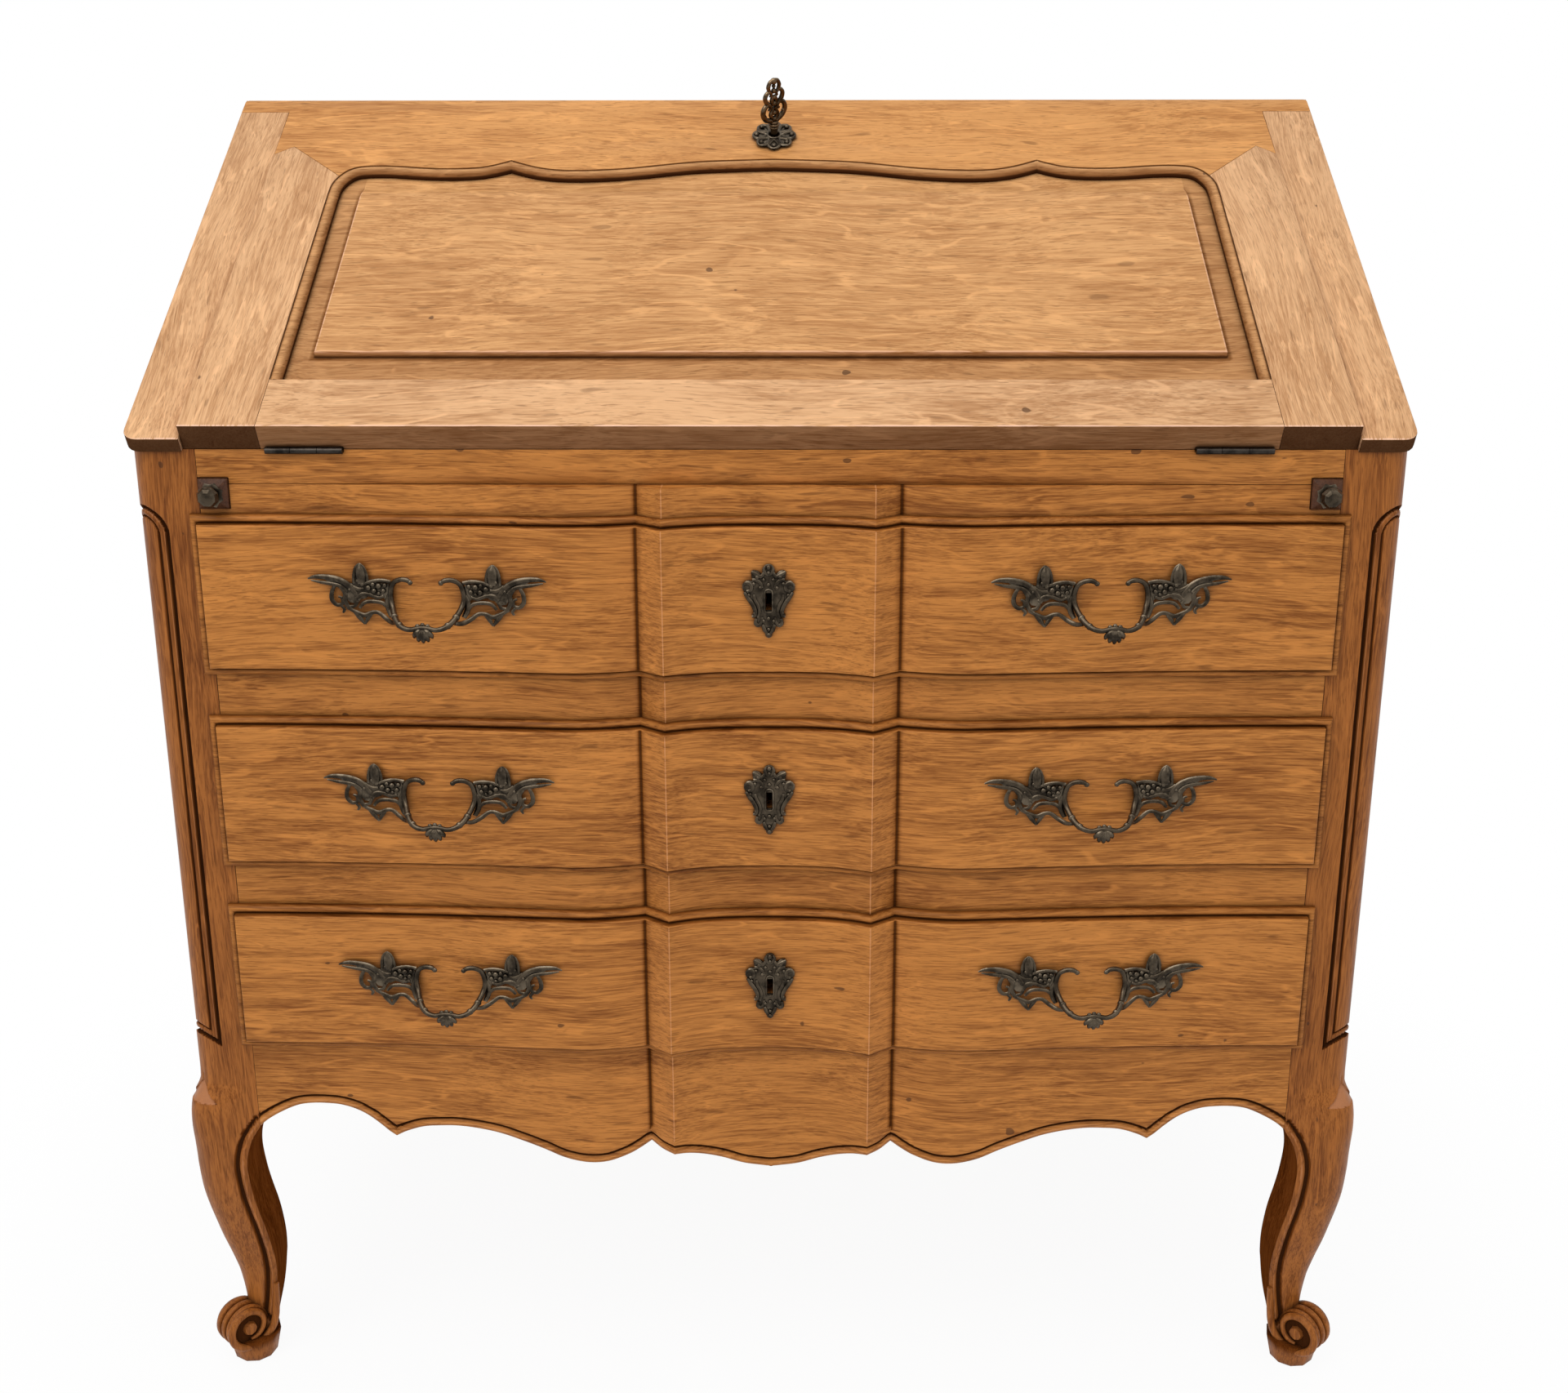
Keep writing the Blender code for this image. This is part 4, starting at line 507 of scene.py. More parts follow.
def add_sweep(bm, points, radii, sides=10, flat=1.0, flat_axis=None):
    """A round or flattened bar through the points, thicker or thinner along its way."""
    points = [Vector(p) for p in points]
    rings = []
    up = flat_axis and Vector(flat_axis)
    for i, point in enumerate(points):
        ahead = points[min(i + 1, len(points) - 1)] - points[max(i - 1, 0)]
        ahead.normalize()
        if up is None:
            up = ahead.orthogonal().normalized()
        side = ahead.cross(up)
        if side.length < 1e-6:
            side = ahead.orthogonal()
        side.normalize()
        lift = side.cross(ahead).normalized()
        if flat_axis is None:
            up = lift
        radius = radii[i] if isinstance(radii, (list, tuple)) else radii
        turns = [2 * math.pi * k / sides for k in range(sides)]
        rings.append([bm.verts.new(point + side * radius * math.cos(a) + lift * radius * flat * math.sin(a))
                      for a in turns])
    skin(bm, rings)
    for ring in (rings[0][::-1], rings[-1]):
        tip = bm.verts.new(sum((v.co for v in ring), Vector()) / sides)
        for first, second in zip(ring, ring[1:] + ring[:1]):
            bm.faces.new((first, second, tip))


def smooth_line(points, steps=4, closed=False):
    """A smooth curve through the points."""
    points = [Vector(p) for p in points]
    count = len(points)
    line = []
    spans = count if closed else count - 1
    for i in range(spans):
        if closed:
            p0, p1, p2, p3 = (points[(i + k - 1) % count] for k in range(4))
        else:
            p0, p1 = points[max(i - 1, 0)], points[i]
            p2, p3 = points[i + 1], points[min(i + 2, count - 1)]
        for step in range(steps):
            t = step / steps
            line.append(0.5 * ((2 * p1) + (p2 - p0) * t + (2 * p0 - 5 * p1 + 4 * p2 - p3) * t * t
                               + (3 * p1 - p0 - 3 * p2 + p3) * t ** 3))
    if not closed:
        line.append(points[-1])
    return line


def transform_new(bm, start, matrix):
    """Move the vertices added since start."""
    bm.verts.ensure_lookup_table()
    bmesh.ops.transform(bm, matrix=matrix, verts=bm.verts[start:])


# Geometry node trees

def new_tree(name, inputs):
    """An empty tree with named inputs, each a name, a socket kind and a default."""
    tree = bpy.data.node_groups.new(name, "GeometryNodeTree")
    tree.interface.new_socket(name="Geometry", in_out="INPUT", socket_type="NodeSocketGeometry")
    for label, kind, default in inputs:
        socket = tree.interface.new_socket(name=label, in_out="INPUT", socket_type="NodeSocket" + kind)
        if default is not None:
            socket.default_value = default
    tree.interface.new_socket(name="Geometry", in_out="OUTPUT", socket_type="NodeSocketGeometry")
    w = Wiring(tree)
    return tree, w, w.add("NodeGroupInput").outputs


def finish_tree(w, given, geometry):
    """Every tree ends with real geometry that carries its finish."""
    real = w.fill(w.add("GeometryNodeRealizeInstances"), Geometry=geometry)
    paint = w.fill(w.add("GeometryNodeSetMaterial"), Geometry=real.outputs[0], Material=given["Finish"])
    w.join(paint.outputs[0], w.add("NodeGroupOutput").inputs[0])


def beads_tree():
    """A bead on every point, as large as the point's own size says."""
    tree, w, given = new_tree("beads_on_points", (
        ("Bead Size", "Float", 0.001), ("Squash", "Vector", (1, 1, 1)), ("Segments", "Int", 10),
        ("Rings", "Int", 7), ("Finish", "Material", None)))
    ball = w.fill(w.add("GeometryNodeMeshUVSphere"), Segments=given["Segments"], Rings=given["Rings"],
                  Radius=given["Bead Size"])
    size = w.fill(w.add("GeometryNodeInputNamedAttribute", data_type="FLOAT"), Name="size")
    grow = w.fill(w.add("ShaderNodeVectorMath", operation="SCALE"), Vector=given["Squash"], Scale=size.outputs[0])
    place = w.fill(w.add("GeometryNodeInstanceOnPoints"), Points=given["Geometry"],
                   Instance=ball.outputs["Mesh"], Scale=grow.outputs[0])
    finish_tree(w, given, place.outputs[0])
    return tree


def moulding_tree():
    """A round moulding that follows its line."""
    tree, w, given = new_tree("moulding_along_line", (
        ("Radius", "Float", 0.004), ("Sides", "Int", 16), ("Finish", "Material", None)))
    line = w.fill(w.add("GeometryNodeMeshToCurve"), Mesh=given["Geometry"])
    profile = w.fill(w.add("GeometryNodeCurvePrimitiveCircle", mode="RADIUS"), Resolution=given["Sides"],
                     Radius=given["Radius"])
    sweep = w.fill(w.add("GeometryNodeCurveToMesh"), Curve=line.outputs[0], Profile_Curve=profile.outputs[0],
                   Fill_Caps=True)
    finish_tree(w, given, sweep.outputs[0])
    return tree


TREES = {}


def grown(maker, points, edges, values, sizes=None):
    """Run a tree on points and edges, and hand back the plain mesh that it grows."""
    if maker not in TREES:
        TREES[maker] = maker()
    tree = TREES[maker]
    seed = bpy.data.meshes.new("seed")
    seed.from_pydata([tuple(p) for p in points], edges, [])
    if sizes is not None:
        seed.attributes.new("size", "FLOAT", "POINT").data.foreach_set("value", sizes)
    obj = bpy.data.objects.new("seed", seed)
    bpy.context.scene.collection.objects.link(obj)
    step = obj.modifiers.new("grow", "NODES")
    step.node_group = tree
    for item in tree.interface.items_tree:
        if item.in_out == "INPUT" and item.name in values:
            step[item.identifier] = values[item.name]
    bpy.context.view_layer.update()
    mesh = bpy.data.meshes.new_from_object(obj.evaluated_get(bpy.context.evaluated_depsgraph_get()))
    obj.modifiers.clear()
    bpy.data.objects.remove(obj)
    bpy.data.meshes.remove(seed)
    return mesh


def add_mesh(bm, mesh):
    """Take a mesh into the piece and let the mesh go."""
    bm.from_mesh(mesh)
    bpy.data.meshes.remove(mesh)


def add_beads(bm, beads, finish, squash=(1, 0.75, 1), segments=10, rings=7):
    """Beads at points, each x, y, z and radius in mm."""
    mesh = grown(beads_tree, [Vector(b[:3]) * MM for b in beads], [], {
        "Bead Size": MM, "Squash": squash, "Segments": segments, "Rings": rings,
        "Finish": finish_named(finish)}, [float(b[3]) for b in beads])
    add_mesh(bm, mesh)


# The serpentine front

CREST_X, CREASE_X, CORNER_X = 0.146, 0.095, 0.076


def bow(x):
    """How far the serpentine front stands forward of the flat plane at x."""
    x = abs(x)
    if x >= CREST_X:
        share = min(1, (x - CREST_X) / (FRONT_HALF - CREST_X))
        return 11 * MM * (1 + math.cos(math.pi * share ** 0.58)) / 2
    if x >= CREASE_X:
        return (11 - 8 * ((CREST_X - x) / (CREST_X - CREASE_X)) ** 1.9) * MM
    if x >= CORNER_X:
        return (3 + 14.7 * (CREASE_X - x) / (CREASE_X - CORNER_X)) * MM
    return (5.5 + 12.2 * (x / CORNER_X) ** 2.8) * MM


def front_stations():
    """Places across the front, closer where its curve turns and at its creases."""
    half = [CORNER_X * i / 12 for i in range(12)]
    half += [CORNER_X - 0.7 * MM, CORNER_X - 0.3 * MM, CORNER_X, CORNER_X + 0.4 * MM, CORNER_X + 0.9 * MM]
    half += [CORNER_X + (CREASE_X - CORNER_X) * i / 3 for i in range(1, 3)]
    half += [CREASE_X - 1.6 * MM, CREASE_X - 0.7 * MM, CREASE_X, CREASE_X + 0.7 * MM, CREASE_X + 1.8 * MM]
    half += [CREASE_X + (CREST_X - CREASE_X) * i / 12 for i in range(1, 13)]
    half += [CREST_X + (FRONT_HALF - CREST_X) * (i / 22) ** 1.25 for i in range(1, 23)]
    return sorted({-x for x in half} | set(half))


def crease_shade_wear_and_highlight(x):
    """Painted shade in the hollow crease, pale wear with a painted highlight on the sharp corner."""
    x = abs(x)
    if abs(x - CREASE_X) < 1.0 * MM:
        return 0.85
    if abs(x - CREASE_X) < 2.0 * MM:
        return 0.3
    if abs(x - CORNER_X) < 0.35 * MM:
        return -1.0
    return 0.0


# Posts and legs: height, swell beyond the post's faces, depth to the inner corner, outer rounding, all in mm
LEG_TABLE = (
    (10, -17.2, 34.5, 10.5), (30, -16.6, 38.0, 10.5), (50, -15.9, 42.3, 11), (64, -14.8, 44.5, 11.5),
    (78, -13.1, 46.0, 12), (84, -12.0, 46.6, 12.5), (100, -8.3, 46.8, 14), (118, -3.7, 45.6, 16),
    (132, -0.5, 44.0, 18), (151, 3.5, 41.0, 20), (166, 6.0, 39.0, 21.5), (187, 7.6, 37.3, 22.5),
    (199, 7.9, 37.7, 22.5), (208, 8.1, 39.6, 22), (215, 8.2, 42.2, 21), (220, 8.2, 45.2, 20),
    (225, 8.1, 48.4, 19), (232, 7.7, 48.5, 17.5), (238, 7.2, 48.5, 16.5), (245, 6.3, 48.5, 16),
    (250, 5.3, 48.5, 16.4), (254, 3.7, 48.5, 17), (258, 1.8, 48.5, 18), (262, 0.5, 48.5, 19), (266, 0, 48.5, 19.5))
SHOULDER_Z = 266.0
# From the middle to the posts' outer faces, in mm
FACE = 456.5


def table_value(z, column):
    """A value of the leg table at a height, smoothly between its rows."""
    rows = LEG_TABLE
    if z <= rows[0][0]:
        return rows[0][column]
    if z >= rows[-1][0]:
        return rows[-1][column]
    for i in range(len(rows) - 1):
        if rows[i][0] <= z <= rows[i + 1][0]:
            break
    z0, z1 = rows[i][0], rows[i + 1][0]

    def slope(k):
        a, b = max(k - 1, 0), min(k + 1, len(rows) - 1)
        return (rows[b][column] - rows[a][column]) / (rows[b][0] - rows[a][0])
    span = z1 - z0
    return hermite((z - z0) / span, rows[i][column], slope(i) * span, rows[i + 1][column], slope(i + 1) * span)


def leg_values(z):
    """Swell, inner depth and rounding at a height in mm."""
    return table_value(z, 1), table_value(z, 2), table_value(z, 3)


# The apron's lower edge: distance from the middle and height, in mm
APRON_EDGE = (
    (408, 225.2), (403, 229.8), (397, 234), (391.7, 237.1), (385, 240.6), (377.5, 243.8), (371, 245.4),
    (361.7, 246.2), (352, 246), (342.2, 245), (331, 241.6), (321.3, 236.4), (312, 229), (304.7, 222.2),
    (299, 217.9), (291, 222), (277, 226.6), (263, 228), (249, 228.3), (232, 226.5),
    (215, 223), (198, 217.3), (181, 210.8), (164, 203.5), (147, 200), (130, 200.3), (113, 205.5), (104, 210),
    (95, 215.5), (86, 212), (76, 211.2), (65, 210), (52, 207), (39, 203), (22, 197), (5, 194.3), (0, 194))
CUSPS = (299, 95, 76)


def apron_edge(x):
    """Height of the apron's lower edge at x, both in mm, smooth but for the cusps."""
    x = abs(x)
    rows = APRON_EDGE
    if x >= rows[0][0]:
        return rows[0][1]
    for i in range(len(rows) - 1):
        if rows[i + 1][0] <= x <= rows[i][0]:
            break
    x0, z0 = rows[i]
    x1, z1 = rows[i + 1]

    def slope(k, towards):
        if rows[k][0] in CUSPS or k == 0:
            other = rows[k + towards]
            return (other[1] - rows[k][1]) / (other[0] - rows[k][0])
        if k == len(rows) - 1:
            return 0.0
        return (rows[k + 1][1] - rows[k - 1][1]) / (rows[k + 1][0] - rows[k - 1][0])
    span = x1 - x0
    return hermite((x - x0) / span, z0, slope(i, 1) * span, z1, slope(i + 1, -1) * span)


def arch_line():
    """The edge that runs up the leg's inner side and on along the apron, for one half, in mm."""
    line = []
    z = 40
    while z < 224:
        line.append((FACE - leg_values(z)[1], z))
        z += 3
    x = 407.0
    while x > 0:
        line.append((x, apron_edge(x)))
        x -= 2
    return line


ARCH = arch_line()


def edge_distance(x, z):
    """Distance from a point of the front to the arch line, in mm."""
    return line_distance(abs(x), z, ARCH, 26)


def edge_bead(distance, wide=0.0):
    """Depth of the bead and groove beside the arch line, and its stain: darkened in the groove and pale on the bead's
    crest as a painted highlight. The groove widens down the leg.
    """
    d = distance
    if d < 6.0:
        return min(1.7 * (abs(d - 3.1) / 3.1) ** 2.2, 2.2), -0.4 if 2.6 < d < 4.0 else 0.16
    if d < 6.8:
        return 1.5 + 1.4 * (d - 6.0), 0.95
    if d < 7.6 + 1.3 * wide:
        return 2.6, 1.0
    if d < 8.4 + 1.5 * wide:
        return 2.6 * (8.4 + 1.5 * wide - d) / (0.8 + 0.2 * wide), 0.75
    return 0.0, max(0.0, 0.16 - 0.05 * (d - 8.5))


PANEL_FAR, PANEL_NEAR = 37.6, -4.8
PANEL_TOP, PANEL_BOTTOM = 728.0, 297.0


def corner_panel(s, z):
    """Depth and stain of the sunk panel on the post's corner: darkened in its grooves, with a painted highlight along
    the crest beside its outer groove. s runs round from the front flat, in mm.
    """
    middle, half = (PANEL_FAR + PANEL_NEAR) / 2, (PANEL_FAR - PANEL_NEAR) / 2
    spring = PANEL_TOP - half
    if z > spring:
        inside = half - math.hypot(s - middle, z - spring)
    else:
        inside = min(half - abs(s - middle), z - PANEL_BOTTOM - 9.0 * (1 - ((s - middle) / half) ** 2))
    if inside <= -0.5:
        return 0.0, 0.0
    if inside < 0.5:
        return 3.4 * (inside + 0.5), 0.9
    if inside < 2.3:
        return 3.4, 1.0
    if inside < 3.3:
        return 3.4 - 2.9 * (inside - 2.3), 0.7 if inside < 3.0 else -0.5
    if inside < 7.1:
        return 0.5 + 0.9 * (abs(inside - 5.2) / 1.9) ** 2, 0.2 if inside > 3.8 else -0.4
    if inside < 8.3:
        return 1.4 + 1.2 * math.sin(math.pi * (inside - 7.1) / 1.2), 0.9
    return max(0.6, 1.4 - 1.0 * (inside - 8.3)), max(0.0, 0.25 - 0.2 * (inside - 8.3))


NEAR_EDGE = (0.0, 0.7, 1.6, 2.6, 3.6, 4.6, 5.4, 5.9, 6.3, 6.7, 7.2, 7.7, 8.1, 8.6, 9.3, 11.0, 13.5)
FLAT_STEPS = 20
ARC_STEPS = 36
FACET_TOP = 265


def post_section(z):
    """Points round the front post: how far in from the side, how far back, and the way round, in mm."""
    swell, inner, round_r = leg_values(z)
    start = -swell
    flat_end = start + round_r
    far = inner - NEAR_EDGE[-1]
    strength = clamp((z - 192) / 34)

    def flush(a):
        """The swell dies away towards the boards that join the post."""
        share = clamp((a - 19) / 27)
        return start * (1 - strength * share * share * (3 - 2 * share))
    flat = [inner - d for d in NEAR_EDGE] + [far + (flat_end - far) * i / FLAT_STEPS for i in range(1, FLAT_STEPS)]
    points = [(a, flush(a), flat_end - a) for a in flat]
    for i in range(ARC_STEPS + 1):
        angle = math.pi / 2 * i / ARC_STEPS
        points.append((flat_end - round_r * math.sin(angle), flat_end - round_r * math.cos(angle), round_r * angle))
    quarter = round_r * math.pi / 2
    points += [(flush(b), b, quarter + b - flat_end) for b in reversed(flat)]
    return points, inner, round_r


def post_heights():
    """The heights of the rings, closer where the carving turns."""
    heights = [10 + 2.2 * i for i in range(102)]
    heights += [236 + 0.65 * i for i in range(44)]
    heights += [SHOULDER_Z + (PANEL_BOTTOM - 4 - SHOULDER_Z) * i / 5 for i in range(1, 6)]
    heights += [PANEL_BOTTOM - 2 + 0.7 * i for i in range(30)]
    heights += [PANEL_BOTTOM + 20 + (PANEL_TOP - 46 - PANEL_BOTTOM) * i / 24 for i in range(24)]
    heights += [PANEL_TOP - 25 + 0.8 * i for i in range(34)]
    heights += [PANEL_TOP + 4 + 6 * i for i in range(6)]
    return sorted(set(heights))


def post_mesh(side):
    """The front post and leg as one skin, with its sunk panel and its beaded inner edges."""
    bm = bmesh.new()
    add = vertex_maker(bm)
    rows = []
    for z in post_heights():
        points, inner, round_r = post_section(z)
        ring = []
        for a, b, s in points:
            depth, stain_and_painted_light = 0.0, 0.0
            angle = max(0.0, min(s / round_r, math.pi / 2))
            normal = Vector((-math.sin(angle), -math.cos(angle)))
            if z > SHOULDER_Z + 5:
                depth, stain_and_painted_light = corner_panel(s, z)
            elif s < 0 or angle == math.pi / 2:
                depth, stain_and_painted_light = edge_bead(edge_distance(FACE - (a if s < 0 else b), z), clamp((236 - z) / 24))
            a2, b2 = a - normal.x * depth, b - normal.y * depth
            # the facet above the knee, cut across the corner and made pale as a painted highlight
            out, across = -(a2 + b2) / math.sqrt(2), (a2 - b2) / math.sqrt(2)
            below = FACET_TOP - z
            stop = -10.2 + 0.62 * below - 0.038 * across ** 2
            if 0 < below < 17 and abs(across) < 14.6 * below / 15 and out > stop:
                a2 += (out - stop) / math.sqrt(2)
                b2 += (out - stop) / math.sqrt(2)
                stain_and_painted_light = -1.0
            ring.append(add((side * (HALF_W - a2 * MM), FRONT_Y + b2 * MM, z * MM), stain_and_painted_light))
        front = points[0][1]
        waste = max(0.0, (28 - z) / 18) * 5.0
        # the leg's inner faces below the apron's edge are darkened as painted shade
        for a, b in ((front + 1.6, inner), (inner - waste, inner - waste), (inner, front + 1.6)):
            ring.append(add((side * (HALF_W - a * MM), FRONT_Y + b * MM, z * MM), 0.52 if z < 230 else 0.0))
        rows.append(ring)
    tilt = LID_ALONG.z / LID_ALONG.y
    base = LID_AT.z - 1.1 * MM
    rows.append([bm.verts.new((v.co.x, v.co.y, base + (v.co.y - LID_AT.y) * tilt)) for v in rows[-1]])
    skin(bm, rows, True)
    return bm


# The spiral on the foot: degrees round, radius, how far forward, thickness, in mm
SPIRAL = (
    (58, 43.4, 9.0, 2.2), (46.5, 33, 7.4, 2.9), (29, 25.8, 5.8, 3.1), (8, 22.2, 4.4, 3.1), (-20, 20.2, 3.2, 3.1),
    (-50, 18.6, 2.0, 3.0), (-82, 17.6, 1.2, 3.0), (-117, 17, 1.0, 3.2), (-152, 16.8, 1.0, 3.2),
    (-188, 16.5, 1.0, 3.2), (-225, 16.1, 1.0, 3.1), (-265, 15.4, 1.0, 3.0), (-305, 14.3, 1.1, 2.8),
    (-345, 13.2, 0.8, 2.4), (-385, 11.9, 1.0, 2.2), (-420, 10.9, 1.2, 2.0), (-450, 10.2, 1.3, 1.3))


ROLLER_IN, ROLLER_Z, ROLLER_LONG = 13.3 * MM, 33 * MM, 24 * MM
BLOCK_IN = 20.6 * MM


def add_scroll(bm, side):
    """The rolled foot: a ridged roller, a spiral with its boss on the inner face, and a faceted block."""
    stain_and_light_layer = bm.verts.layers.float["stain_and_painted_light"]
    bm.verts.ensure_lookup_table()
    start = len(bm.verts)
    ridges = ((0, 15.4), (0.6, 17.0), (1.8, 18.2), (3.6, 18.8), (5.4, 18.4), (6.4, 16.9), (7.3, 18.4), (9.6, 19.2),
              (12.2, 19.0), (13.4, 17.2), (14.4, 18.7), (17, 19.3), (20.4, 18.8), (22.8, 17.2), (24, 14.0), (24, 0.1))
    sides = 40
    rings = []
    for along, radius in ((0, 0.1),) + ridges:
        rings.append([bm.verts.new((radius * MM * math.cos(2 * math.pi * i / sides),
                                    radius * MM * math.sin(2 * math.pi * i / sides), along * MM))
                      for i in range(sides)])
    skin(bm, rings)
    for k, value in ((0, 0.9), (1, 0.9), (2, 0.6), (6, 0.9), (7, 0.4), (10, 0.9), (11, 0.4), (14, 0.8)):
        for vert in rings[k]:
            vert[stain_and_light_layer] = value
    turns, radii = [], []
    for degrees, radius, forward, thick in SPIRAL:
        angle = math.radians(degrees)
        turns.append((radius * MM * math.cos(angle), radius * MM * math.sin(angle), -forward * MM))
        radii.append((thick * MM, 0, 0))
    add_sweep(bm, smooth_line(turns, 5), [r.x for r in smooth_line(radii, 5)], 12)
    for radius, far_radius, start_z, end_z in ((6.4, 5.2, 1.0, -3.2), (5.2, 0.2, -3.2, -3.7)):
        add_cone(bm, 8, radius, far_radius, start_z - end_z, Matrix.Translation((0, 0, (start_z + end_z) / 2 * MM))
                 @ Matrix.Rotation(math.pi, 4, "X"))
    # z of the roller runs from the inner front face to the outer back, and its x is level
    along = Vector((side, 1, 0)).normalized()
    level = Vector((0, 0, 1)).cross(along).normalized() * (1 if side > 0 else -1)
    upward = Vector((0, 0, 1))
    centre = Vector((side * (HALF_W - ROLLER_IN), FRONT_Y + ROLLER_IN, ROLLER_Z)) - along * ROLLER_LONG / 2
    place = Matrix((
        (level.x, upward.x, along.x, centre.x), (level.y, upward.y, along.y, centre.y),
        (level.z, upward.z, along.z, centre.z), (0, 0, 0, 1)))
    transform_new(bm, start, place)
    bm.verts.ensure_lookup_table()
    block = len(bm.verts)
    foot = Vector((side * (HALF_W - BLOCK_IN), FRONT_Y + BLOCK_IN, 0))
    for radius, far_radius, depth, z in ((17.6, 22.0, 20, 11.3), (16.4, 17.6, 1.3, 0.65)):
        add_cone(bm, 10, radius, far_radius, depth,
                 Matrix.Translation(foot + Vector((0, 0, z * MM))) @ Matrix.Rotation(math.pi / 8, 4, "Z"))
    bm.verts.ensure_lookup_table()
    for vert in bm.verts[block:]:
        vert[stain_and_light_layer] = -0.3 if vert.co.z < 2 * MM else 0.56


class DESK_OT_front_posts(bpy.types.Operator):
    """Front corner posts with sunk corner panels, cabriole legs and scroll feet"""
    bl_idname = "desk.front_posts"
    bl_label = "Front Posts"

    def execute(self, context):
        for word, side in SIDES:
            bm = post_mesh(side)
            add_scroll(bm, side)
            mark(bm)
            make_piece(word + "_front_post_carved", bm, "carcass", "walnut_post",
                       (word + "_front_post",), 50)
        return {"FINISHED"}


def bowed_rail(node):
    """A rail whose face follows the serpentine line, on the CAD rail's own box."""
    low_corner, high_corner = low(node), high(node)
    bm = bmesh.new()
    add_box(bm, (low_corner.x, FRONT_Y, low_corner.z), high_corner)
    soften(bm, 0.5 * MM, 2)
    cut_across(bm, front_stations())
    stain_and_light_layer = bm.verts.layers.float.new("stain_and_painted_light")
    for vert in bm.verts:
        if vert.co.y < FRONT_Y + 0.6 * MM:
            vert.co.y -= bow(vert.co.x)
            vert[stain_and_light_layer] = crease_shade_wear_and_highlight(vert.co.x)
    return bm


def cut_mortise(rail, drawer):
    """The hole in a rail that the bolt of the drawer below enters."""
    start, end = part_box(drawer + "_bolt")
    spare = Vector((0.3, 0.3, 0)) * MM
    cut_box(rail, start - spare, end + spare + Vector((0, 0, 10 * MM)))


class DESK_OT_front_rails(bpy.types.Operator):
    """Frieze, divider rails and writing bed across the front"""
    bl_idname = "desk.front_rails"
    bl_label = "Front Rails"

    def execute(self, context):
        for node, drawer in (("upper_divider_rail", "drawer_2"), ("lower_divider_rail", "drawer_3"),
                             ("frieze_rail", "drawer_1")):
            bm = bowed_rail(node)
            mark(bm)
            rail = make_piece(node + "_bowed", bm, "carcass", "walnut_across", (node,))
            cut_mortise(rail, drawer)
        # the lid supports pass through the frieze rail, which comes last above
        reach = 60 * MM
        for word, _ in SIDES:
            start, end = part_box(word + "_loper")
            cut_box(rail, (start.x - 0.6 * MM, start.y - reach, start.z - 0.4 * MM),
                    (end.x + 0.6 * MM, end.y, end.z + reach))
        worn_board("writing_bed", "carcass", "walnut_across", 0.7 * MM)
        return {"FINISHED"}


class DESK_OT_apron(bpy.types.Operator):
    """Serpentine apron with a scrolled lower edge, its bead and its groove"""
    bl_idname = "desk.apron"
    bl_label = "Apron"

    def execute(self, context):
        bm = bmesh.new()
        add = vertex_maker(bm)
        limit, pace = 407.7, 1.9
        half = [limit, *CUSPS]
        x = 0.0
        while x < limit:
            half.append(x)
            x += pace
        xs = {sign * x for x in half for sign in (1, -1)}
        xs.update(round(s / MM, 3) for s in front_stations() if abs(s / MM) < limit)
        xs = sorted(xs)
        top = high("front_apron").z / MM
        steps = (0, 0.7, 1.6, 2.6, 3.6, 4.6, 5.4, 5.9, 6.3, 6.7, 7.2, 7.7, 8.1, 8.6, 9.3, 11, 14, 19)
        rows = []
        for x in xs:
            edge = apron_edge(x)
            lean = (apron_edge(x + 0.8) - apron_edge(x - 0.8)) / 1.6
            stretch = min(math.hypot(1, lean), 1.7)
            column = []
            for step in steps:
                z = edge + step * stretch
                depth, stain_and_painted_light = edge_bead(edge_distance(x, z))
                column.append(add((x * MM, FRONT_Y - bow(x * MM) + depth * MM, z * MM),
                                  stain_and_painted_light or crease_shade_wear_and_highlight(x * MM)))
            for share in (0.4, 1.0):
                z = column[len(steps) - 1].co.z
                column.append(add((x * MM, FRONT_Y - bow(x * MM), z + (top * MM - z) * share),
                                  crease_shade_wear_and_highlight(x * MM)))
            back = FRONT_Y + 21.7 * MM
            column += [add((x * MM, y, z * MM))
                       for y, z in ((back, top), (back, edge + 1.0), (back - 1.0 * MM, edge))]
            rows.append(column)
        skin(bm, rows, True)
        mark(bm)
        make_piece("front_apron_scrolled", bm, "carcass", "walnut_across", ("front_apron",), 50)
        return {"FINISHED"}


class DESK_OT_carcass(bpy.types.Operator):
    """Sides with their raised panels, rear posts, back, top board"""
    bl_idname = "desk.carcass"
    bl_label = "Carcass"

    def execute(self, context):
        for word, _ in SIDES:
            worn_board(word + "_side_frame", "carcass", "walnut_post", 0.6 * MM)
            worn_board(word + "_side_panel", "carcass", "walnut_upright", 0.5 * MM)
            worn_board(word + "_rear_post", "carcass", "walnut_post", context.scene.desk_wood.softness)
        worn_board("back_panel", "carcass", "oak_upright", 0.6 * MM)
        worn_board("top_board", "carcass", "lid_across", 1.6 * MM, 3, 18 * MM)
        return {"FINISHED"}


# Drawers

FRONT_EDGE = (
    (0.0, 0.3), (0.0, 2.2), (0.35, 3.6), (1.2, 4.9), (2.3, 5.7), (3.5, 6.0), (4.5, 5.7), (5.3, 4.9), (5.8, 4.1),
    (6.15, 4.0), (6.3, 5.2), (6.45, 9.6), (6.8, 10.5), (7.5, 10.95), (9.0, 11.0))
FRONT_STAIN = (0.6, 0.45, 0.3, 0.2, 0.18, 0.2, 0.25, 0.4, 0.66, 0.72, 0.62, 0.35, 0.05, 0.0, 0.0)
FRONT_PROUD = 11.0 * MM
LIP_WIDER = 2.4 * MM
CORE_IN = 6 * MM
KEYHOLE_HALF = Vector((2.1 * MM, 0, 6.5 * MM))


